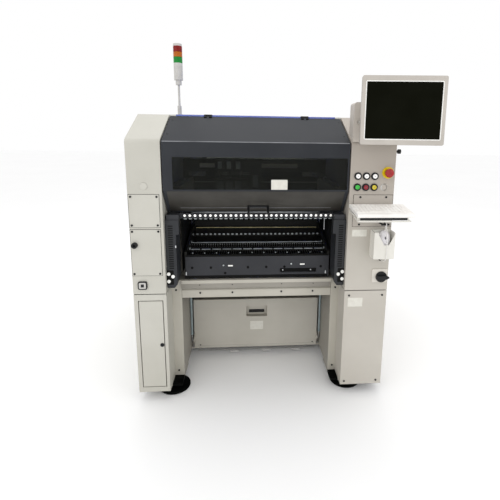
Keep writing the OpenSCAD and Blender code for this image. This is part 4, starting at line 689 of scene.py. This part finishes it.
def mouse_shell(low, high, around=44, rings=34):
    """Shell of a mouse that stands on its tail.

    v runs from tail to nose. The half width is the widest half width times (1 - |2v - 1|^p)^(1/q), and
    the depth follows a hump that is highest at two fifths. Each ring is a superellipse whose back is
    flattened onto the plane that the mouse lies against.
    """
    v = np.linspace(0.004, 0.996, rings)[:, None]
    t = np.linspace(0, 2 * math.pi, around, endpoint=False)[None]
    half = (high[0] - low[0]) / 2 * (1 - np.abs(2 * v - 1) ** 3.0) ** (1 / 2.3)
    waist = 1 - 0.07 * np.exp(-((v - 0.55) / 0.16) ** 2)
    depth = (high[1] - low[1]) * (np.sin(math.pi * v ** 0.8) ** 0.55)
    x = (low[0] + high[0]) / 2 + half * waist * np.sign(np.cos(t)) * np.abs(np.cos(t)) ** 0.8
    y = high[1] - depth * (0.5 + 0.5 * np.sign(np.sin(t)) * np.abs(np.sin(t)) ** 0.8)
    z = np.broadcast_to(low[2] + v * (high[2] - low[2]), x.shape)
    return np.stack([x, y, z], -1)


piece("mouse_shell", mouse_shell(mouse_low, mouse_high), mouse_abs, "machine",
      replaces=("mouse",))
wheel_profile = [(-3.2, 0.01), (-3.2, 6.4), (-2.4, 7.6), (0, 8.0), (2.4, 7.6), (3.2, 6.4), (3.2, 0.01)]
piece("mouse_wheel", lathe(wheel_profile, [(mouse_x, mouse_low[1] + 12, mouse_high[2] - 34)], "x", 36),
      wheel_grey, "machine")

# ---- waste flap: the dark slot of its grip, its folded hem with painted shadow and highlights, its screws ----

piece("flap_grip_slot", plates([(-24.5, -290.0, 276)], 96, 20, 4, 1.5), rubber_seal_and_painted_shade, "waste_flap")
hem_back = FLAP_FACE_Y + 1
# A dark seam line at Z 35 mm, and a painted shadow under the hem's step at Z 66 mm
hem_seam_and_shadow = bars([(-386, FLAP_FACE_Y - 0.5, 34), (-386, FLAP_FACE_Y - 0.4, 65)],
                 [(342, hem_back, 35.6), (342, hem_back, 66)], 0.2)
piece("flap_hem_seam_and_painted_shadow", hem_seam_and_shadow, frame_coat, "waste_flap", smooth=False)
# Painted highlights: three pale tabs where the hem's edge catches the light
HEM_HIGHLIGHT_X = (-190, 8, 196)
hem_highlights = bars([(x, FLAP_FACE_Y - 0.8, 20) for x in HEM_HIGHLIGHT_X], [(x + 52, hem_back, 27) for x in HEM_HIGHLIGHT_X])
piece("flap_hem_painted_highlights", hem_highlights, signal_abs, "waste_flap")
piece("flap_corner_screws", lathe(screw_head(4.0, 2.0), [(x, FLAP_FACE_Y, 72) for x in (-370, 326)]),
      black_oxide, "waste_flap")

# ---- signal tower: fine ribs round each lens ----

for lens_name, lens_material in (("red", lens_red), ("amber", lens_amber), ("green", lens_green)):
    lens_low, lens_high = mm_box("signal_lens_" + lens_name)
    lens_middle = (lens_low + lens_high) / 2
    rib_z = np.arange(lens_low[2] + 4, lens_high[2] - 3, 4.0)
    rib_radius = (lens_high[0] - lens_low[0]) / 2
    rib = [(-0.9, rib_radius - 0.5), (0, rib_radius + 0.5), (0.9, rib_radius - 0.5)]
    rib_profile = [(rib_z[0] - 1.4 - lens_middle[2], rib_radius - 0.6)]
    for z in rib_z:
        rib_profile += [(z - lens_middle[2] + along, radius) for along, radius in rib]
    piece("signal_ribs_" + lens_name, lathe(rib_profile, [lens_middle], "z", 48), lens_material, "machine")


# ---- lane guides, tabs under the lamps, dark side liners and louvre liners ----

piece("lane_guides", row(lane_places, leg_y + 67, (0.7, 39), beam_top + 122, beam_top + 133, 0.3),
      black_oxide, "machine", smooth=False)
piece("lane_guide_studs", row(lane_places[2::5], leg_y + 30, (3, 3), beam_top + 133, beam_top + 137, 0.8),
      worn_steel, "machine", smooth=False)
rib_depth, rib_rise, _ = RAILS["fourth"]
rib_spots = [(x, side * (leg_y + rib_depth)) for side in (1, -1) for x in lane_places[::2]]
rib_low = [(x - 5.5, y - 7, beam_top + rib_rise - 2) for x, y in rib_spots]
rib_high = [(x + 5.5, y - 5, beam_top + rib_rise + 7) for x, y in rib_spots]
piece("lane_comb_ribs", bars(rib_low, rib_high, 0.3), worn_steel, "machine", smooth=False)

lamp_low, lamp_high = mm_box("lane_lamps")
LAMPS = 30
lamp_places = np.linspace(lamp_low[0] + 8, lamp_high[0] - 8, LAMPS)
tab_y = lamp_low[1] + 12
lamp_ring = np.array([(3, 9.2), (-1.4, 9.2), (-2.2, 8.4), (-1.8, 6.8), (3, 6.2)])
ring_y, ring_z = lamp_low[1] - 0.4, (lamp_low[2] + lamp_high[2]) / 2
lamp_rings = [lathe(lamp_ring * [side, 1], [(x, side * ring_y, ring_z) for x in lamp_places])
              for side in (1, -1)]
piece("lane_lamp_rings", np.concatenate(lamp_rings), black_abs, "machine")
piece("lane_tabs", row(lamp_places, tab_y, (7, 1), lamp_low[2] - 12, lamp_low[2] - 8, 0.4), worn_steel,
      "machine", smooth=False)

liner_x = (rack_low[0] - 12.4, rack_high[0] + 7.6)
piece("bay_side_liners", row(liner_x, -413.5, (0.6, 161.5), beam_top + 36, beam_top + 341, 0.3),
      black_liner, "machine")

guard_low, guard_high = mm_box("feeder_guards")
louvre_x = (left_in + 26, right_in - 26)
piece("louvre_liners", row(louvre_x, guard_low[1] + 6, (14, 0.6), beam_top + 92, beam_top + 322, 0.3),
      black_liner, "machine")

SLOTS = 20
slot_z = np.linspace(beam_top + 102, guard_high[2] - 29, SLOTS)
front_slots = np.array([(x, guard_low[1], z) for x in louvre_x for z in slot_z])
slot_inlays = [plates(front_slots * [1, -side, 1], 23, 5.6, 0.6, 0.3, 0.1, out=(0, side, 0))
               for side in (-1, 1)]
piece("louvre_slots", np.concatenate(slot_inlays), black_liner, "machine", smooth=False)
cap_places = [(x, guard_low[1], 658) for x in (right_in - 17, left_in + 17)]
piece("guard_cap_plates", plates(cap_places, 34, 74, 4, 1.0), black_liner, "machine")
clip = bar((left_in + 46, guard_low[1] - 2, 809), (left_in + 52, guard_low[1], 821), 0.6)
piece("guard_clip", clip, zinc, "machine")

# ---- feeder plate: the dark grip at its right end, a painted shadow at its foot, and its end latches ----

plate_grip = bar((92, plate_y - 5, 641), (284, plate_y, 659), 2.0)
piece("feeder_plate_grip", both_sides(plate_grip), black_liner, "machine")
# Painted shadow: a black strip along the plate's foot, above the beam's lip
plate_painted_shadow = bar((-402, plate_y - 2, 613), (346, plate_y, 625), 0.8)
piece("feeder_plate_painted_shadow", both_sides(plate_painted_shadow), black_liner, "machine")
piece("feeder_grip_screws", lathe(screw_head(3.4, 2.0), [(106, plate_y - 5, 652), (254, plate_y - 5, 652)]),
      zinc, "machine")
piece("feeder_plate_latches", bars([(-399, plate_y - 3, 628), (332, plate_y - 3, 628)],
                                   [(-393, plate_y, 646), (338, plate_y, 646)], 1.0), zinc, "machine")

# ---- locking pin that hangs under the lamp bar ----

pin_x = lamp_high[0] - 37
pin_path = [(pin_x, tab_y, z) for z in np.linspace(lamp_low[2] - 62, lamp_low[2] - 8, 6)]
piece("hanging_pin", tube(pin_path, 1.5, 10), zinc, "machine")
ball_angle = np.linspace(0.08, math.pi - 0.08, 12)
ball = np.stack([-3.4 * np.cos(ball_angle), 3.4 * np.sin(ball_angle)], 1)
piece("hanging_pin_ball", lathe(ball, [(pin_x, tab_y, lamp_low[2] - 64)], "z", 20), zinc, "machine")

# ---- beam: painted shade on its upper half ----

piece("beam_upper_painted_shade", plates([(bay_middle, beam_low[1], 573)], 782, 26, 1, 0.7), beam_painted_shade, "machine")

# ---- hood: smoke-tinted lower sheet, painted highlights on its seam and fold, screws in the slope ----

LOWER_SLOPE = (0, -0.809, -0.588)   # outward direction of the lower slope
lower_sheet = plates([(bay_middle, -679.7, 1034)], 838, 132, 5, 0.9, out=LOWER_SLOPE)
seam = plates([(bay_middle - 1, -654.4, 997.7)], 736, 1.8, 0.6, 0.7, 0.3, out=LOWER_SLOPE)
fold = bar((left_in + 9, front_y - 0.5, 1313), (right_in - 9, front_y + 3, 1317), 0.9)
HINGE_X = (-278, 217)
hinge_caps = bars([(x - 20, -488, 1440) for x in HINGE_X], [(x + 20, -472, 1448) for x in HINGE_X], 1.5)
for hood_body, turn in (("front_hood", 1), ("rear_hood", MIRROR)):
    piece(hood_body + "_lower_sheet", lower_sheet * turn, smoke_sheet, hood_body)
    piece(hood_body + "_seam_painted_highlight", seam * turn, fold_painted_highlight, hood_body)
    piece(hood_body + "_fold_painted_highlight", fold * turn, fold_painted_highlight, hood_body)
    piece(hood_body + "_hinge_caps", hinge_caps * turn, black_liner, "machine")
SLOPE_RUN, SLOPE_RISE = 234, 123    # depth and height of the hood's upper slope
SLOPE_FOOT = (-720, 1315)           # Y and Z where that slope starts
SLOPE_TILT = math.atan2(SLOPE_RISE, SLOPE_RUN)


def on_slope(profile, centres):
    """Turned shapes whose axis stands square to the hood's upper slope: turned about X by its lean."""
    shape = lathe(profile, [(0, 0, 0)], "z", 20)[0]
    cos, sin = math.cos(SLOPE_TILT), math.sin(SLOPE_TILT)
    leaned = np.stack([shape[..., 0], cos * shape[..., 1] - sin * shape[..., 2],
                       sin * shape[..., 1] + cos * shape[..., 2]], -1)
    return np.asarray(centres, float).reshape(-1, 1, 1, 3) + leaned


slope_screws = [(x, y, SLOPE_FOOT[1] + (y - SLOPE_FOOT[0]) * SLOPE_RISE / SLOPE_RUN)
                for x in (-450, 388) for y in (-525, -655)]
slope_heads = on_slope([(0, 3.4), (1.4, 3.2), (1.8, 2.4), (1.8, 0.01)], slope_screws)
for hood_body, turn in (("front_hood", 1), ("rear_hood", MIRROR)):
    piece(hood_body + "_slope_screws", slope_heads * turn, black_oxide, hood_body)

# ---- what shows through the window: face plates on the beam, covers and rods on the head ----

BEAM_FACE_Y = -170.0        # front face of the beam above its rail
piece("cross_beam_plate_right", plates([(106, BEAM_FACE_Y, 1167)], 240, 26, 2, 0.9), flap_coat, "cross_beam")
piece("cross_beam_plate_left", plates([(-318, BEAM_FACE_Y, 1167)], 100, 26, 2, 0.9), tray_coat, "cross_beam")
shroud = bar((-440, -104, 988), (376, -100, 1096), 1.5)
piece("cross_beam_shroud", shroud, black_liner, "cross_beam")
piece("cross_beam_rod", bar((-430, -108, 1058), (366, -103.6, 1062), 1.0), worn_steel, "cross_beam")
head_front = mm_box("placement_head")[0][1]
SPINDLE_X = (-240, -187, -134)
piece("head_covers", plates([(x, head_front, 1045) for x in SPINDLE_X], 40, 76, 5, 4, 1.5), head_cover,
      "placement_head")
piece("head_motor_plates", plates([(x, head_front + 6, 1176) for x in SPINDLE_X], 26, 44, 3, 1.2), worn_steel,
      "placement_head")
piece("head_camera_cover", plates([(-33, -252, 1085)], 30, 70, 4, 2, 1.0), head_cover, "placement_head")
head_rods = bars([(-260, -206, 1117), (-260, -204, 1127)], [(-62, -198, 1120), (-62, -198, 1129)], 0.8)
piece("head_rods", head_rods, worn_steel, "placement_head")

# ---- left tower: the service socket's pale field and its dark centre ----

socket_centre = (left_low[0] + 46.5, front_y - 8, 631)
piece("service_socket_field", plates([socket_centre], 33, 30, 5, 0.6), signal_abs, "machine")
piece("service_socket_centre", plates([(socket_centre[0], front_y - 8.6, 631)], 15, 16, 2, 0.5), black_abs,
      "machine")

# ---- monitor: raised lip round the screen, white as a painted highlight, and the knob on its post ----

screen_points = node_points("monitor_screen")
screen_middle = (screen_points.min(0) + screen_points.max(0)) / 2
# the screen's own axes are the directions of its greatest, middle and least spread
axes = np.linalg.svd(screen_points - screen_points.mean(0), full_matrices=False)[2]
spread = (screen_points - screen_middle) @ axes.T
screen_middle = screen_middle + ((spread.min(0) + spread.max(0)) / 2) @ axes
screen_size = spread.max(0) - spread.min(0)
screen_out = axes[2] * -np.sign(axes[2][1])
screen_right = axes[0] * np.sign(axes[0][0])
LIP = 2.2
lip_edge = outline(screen_size[0] + 2 * LIP, screen_size[1] + 2 * LIP, 4, 6)
lip_edge = np.concatenate([lip_edge, lip_edge[:1]])
lip_up = np.cross(screen_right, -screen_out)
lip_path = (screen_middle + screen_out * (screen_size[2] / 2 + 0.6) + lip_edge[:, :1] * screen_right
            + lip_edge[:, 1:] * lip_up)
# Painted highlight: the lip is white, lighter than the bezel, where the bezel's inner edge catches light
piece("monitor_lip_painted_highlight", tube(lip_path, LIP, 10), white_cap, "monitor")
KNOB = (444, -698, 1413)            # centre of the knob's seat on the post
knob_ring = [(0, 17), (-2.4, 17), (-3.2, 16), (-3.2, 12), (-2, 11), (-2, 0.01)]
knob_cap = [(-2, 10), (-11, 10.6), (-13, 9.4), (-13.6, 6), (-13.6, 0.01)]
piece("post_knob_ring", lathe(knob_ring, [KNOB], around=40), black_abs, "machine")
piece("post_knob", lathe(knob_cap, [KNOB]), white_cap, "machine")

# ---- screws that hold the towers' outer faces ----

lower_cover_low, lower_cover_high = mm_box("right_lower_cover")
side_rows = (lower_cover_low[2] + 40, lower_cover_high[2] - 30, tower_low[2] + 36, 1240)
side_places = [(y, z) for z in side_rows for y in (-640, -215, 215, 640)]
side_heads = np.concatenate([lathe(np.array(screw_head(5.0, 2.6)) * [-sign, 1],
                                   [(middle, y, z) for y, z in side_places], "x")
                             for sign, middle in ((1, right_out), (-1, left_low[0]))])
piece("side_cover_screws", side_heads, black_oxide, "machine")


# ---- floor ----

FLOOR_HALF = 30.0                   # metres from the middle to each edge
floor_points = np.array([[-1, -1], [1, -1], [1, 1], [-1, 1]]) * FLOOR_HALF
floor_mesh = bpy.data.meshes.new("floor")
floor_mesh.from_pydata([(x, y, 0.0) for x, y in floor_points], [], [(0, 1, 2, 3)])
floor = bpy.data.objects.new("floor", floor_mesh)
bpy.context.scene.collection.objects.link(floor)
floor_mesh.materials.append(finish("painted_studio_floor", ("#fbfbfb", "#fdfdfd"), (0.8, 0.9), 0.01,
                                   0.00005, 2.0))
world = bpy.data.worlds.new("studio")
bpy.context.scene.world = world
world.use_nodes = True
world.node_tree.nodes["Background"].inputs["Color"].default_value = hue("#ffffff")
world.node_tree.nodes["Background"].inputs["Strength"].default_value = 1.0
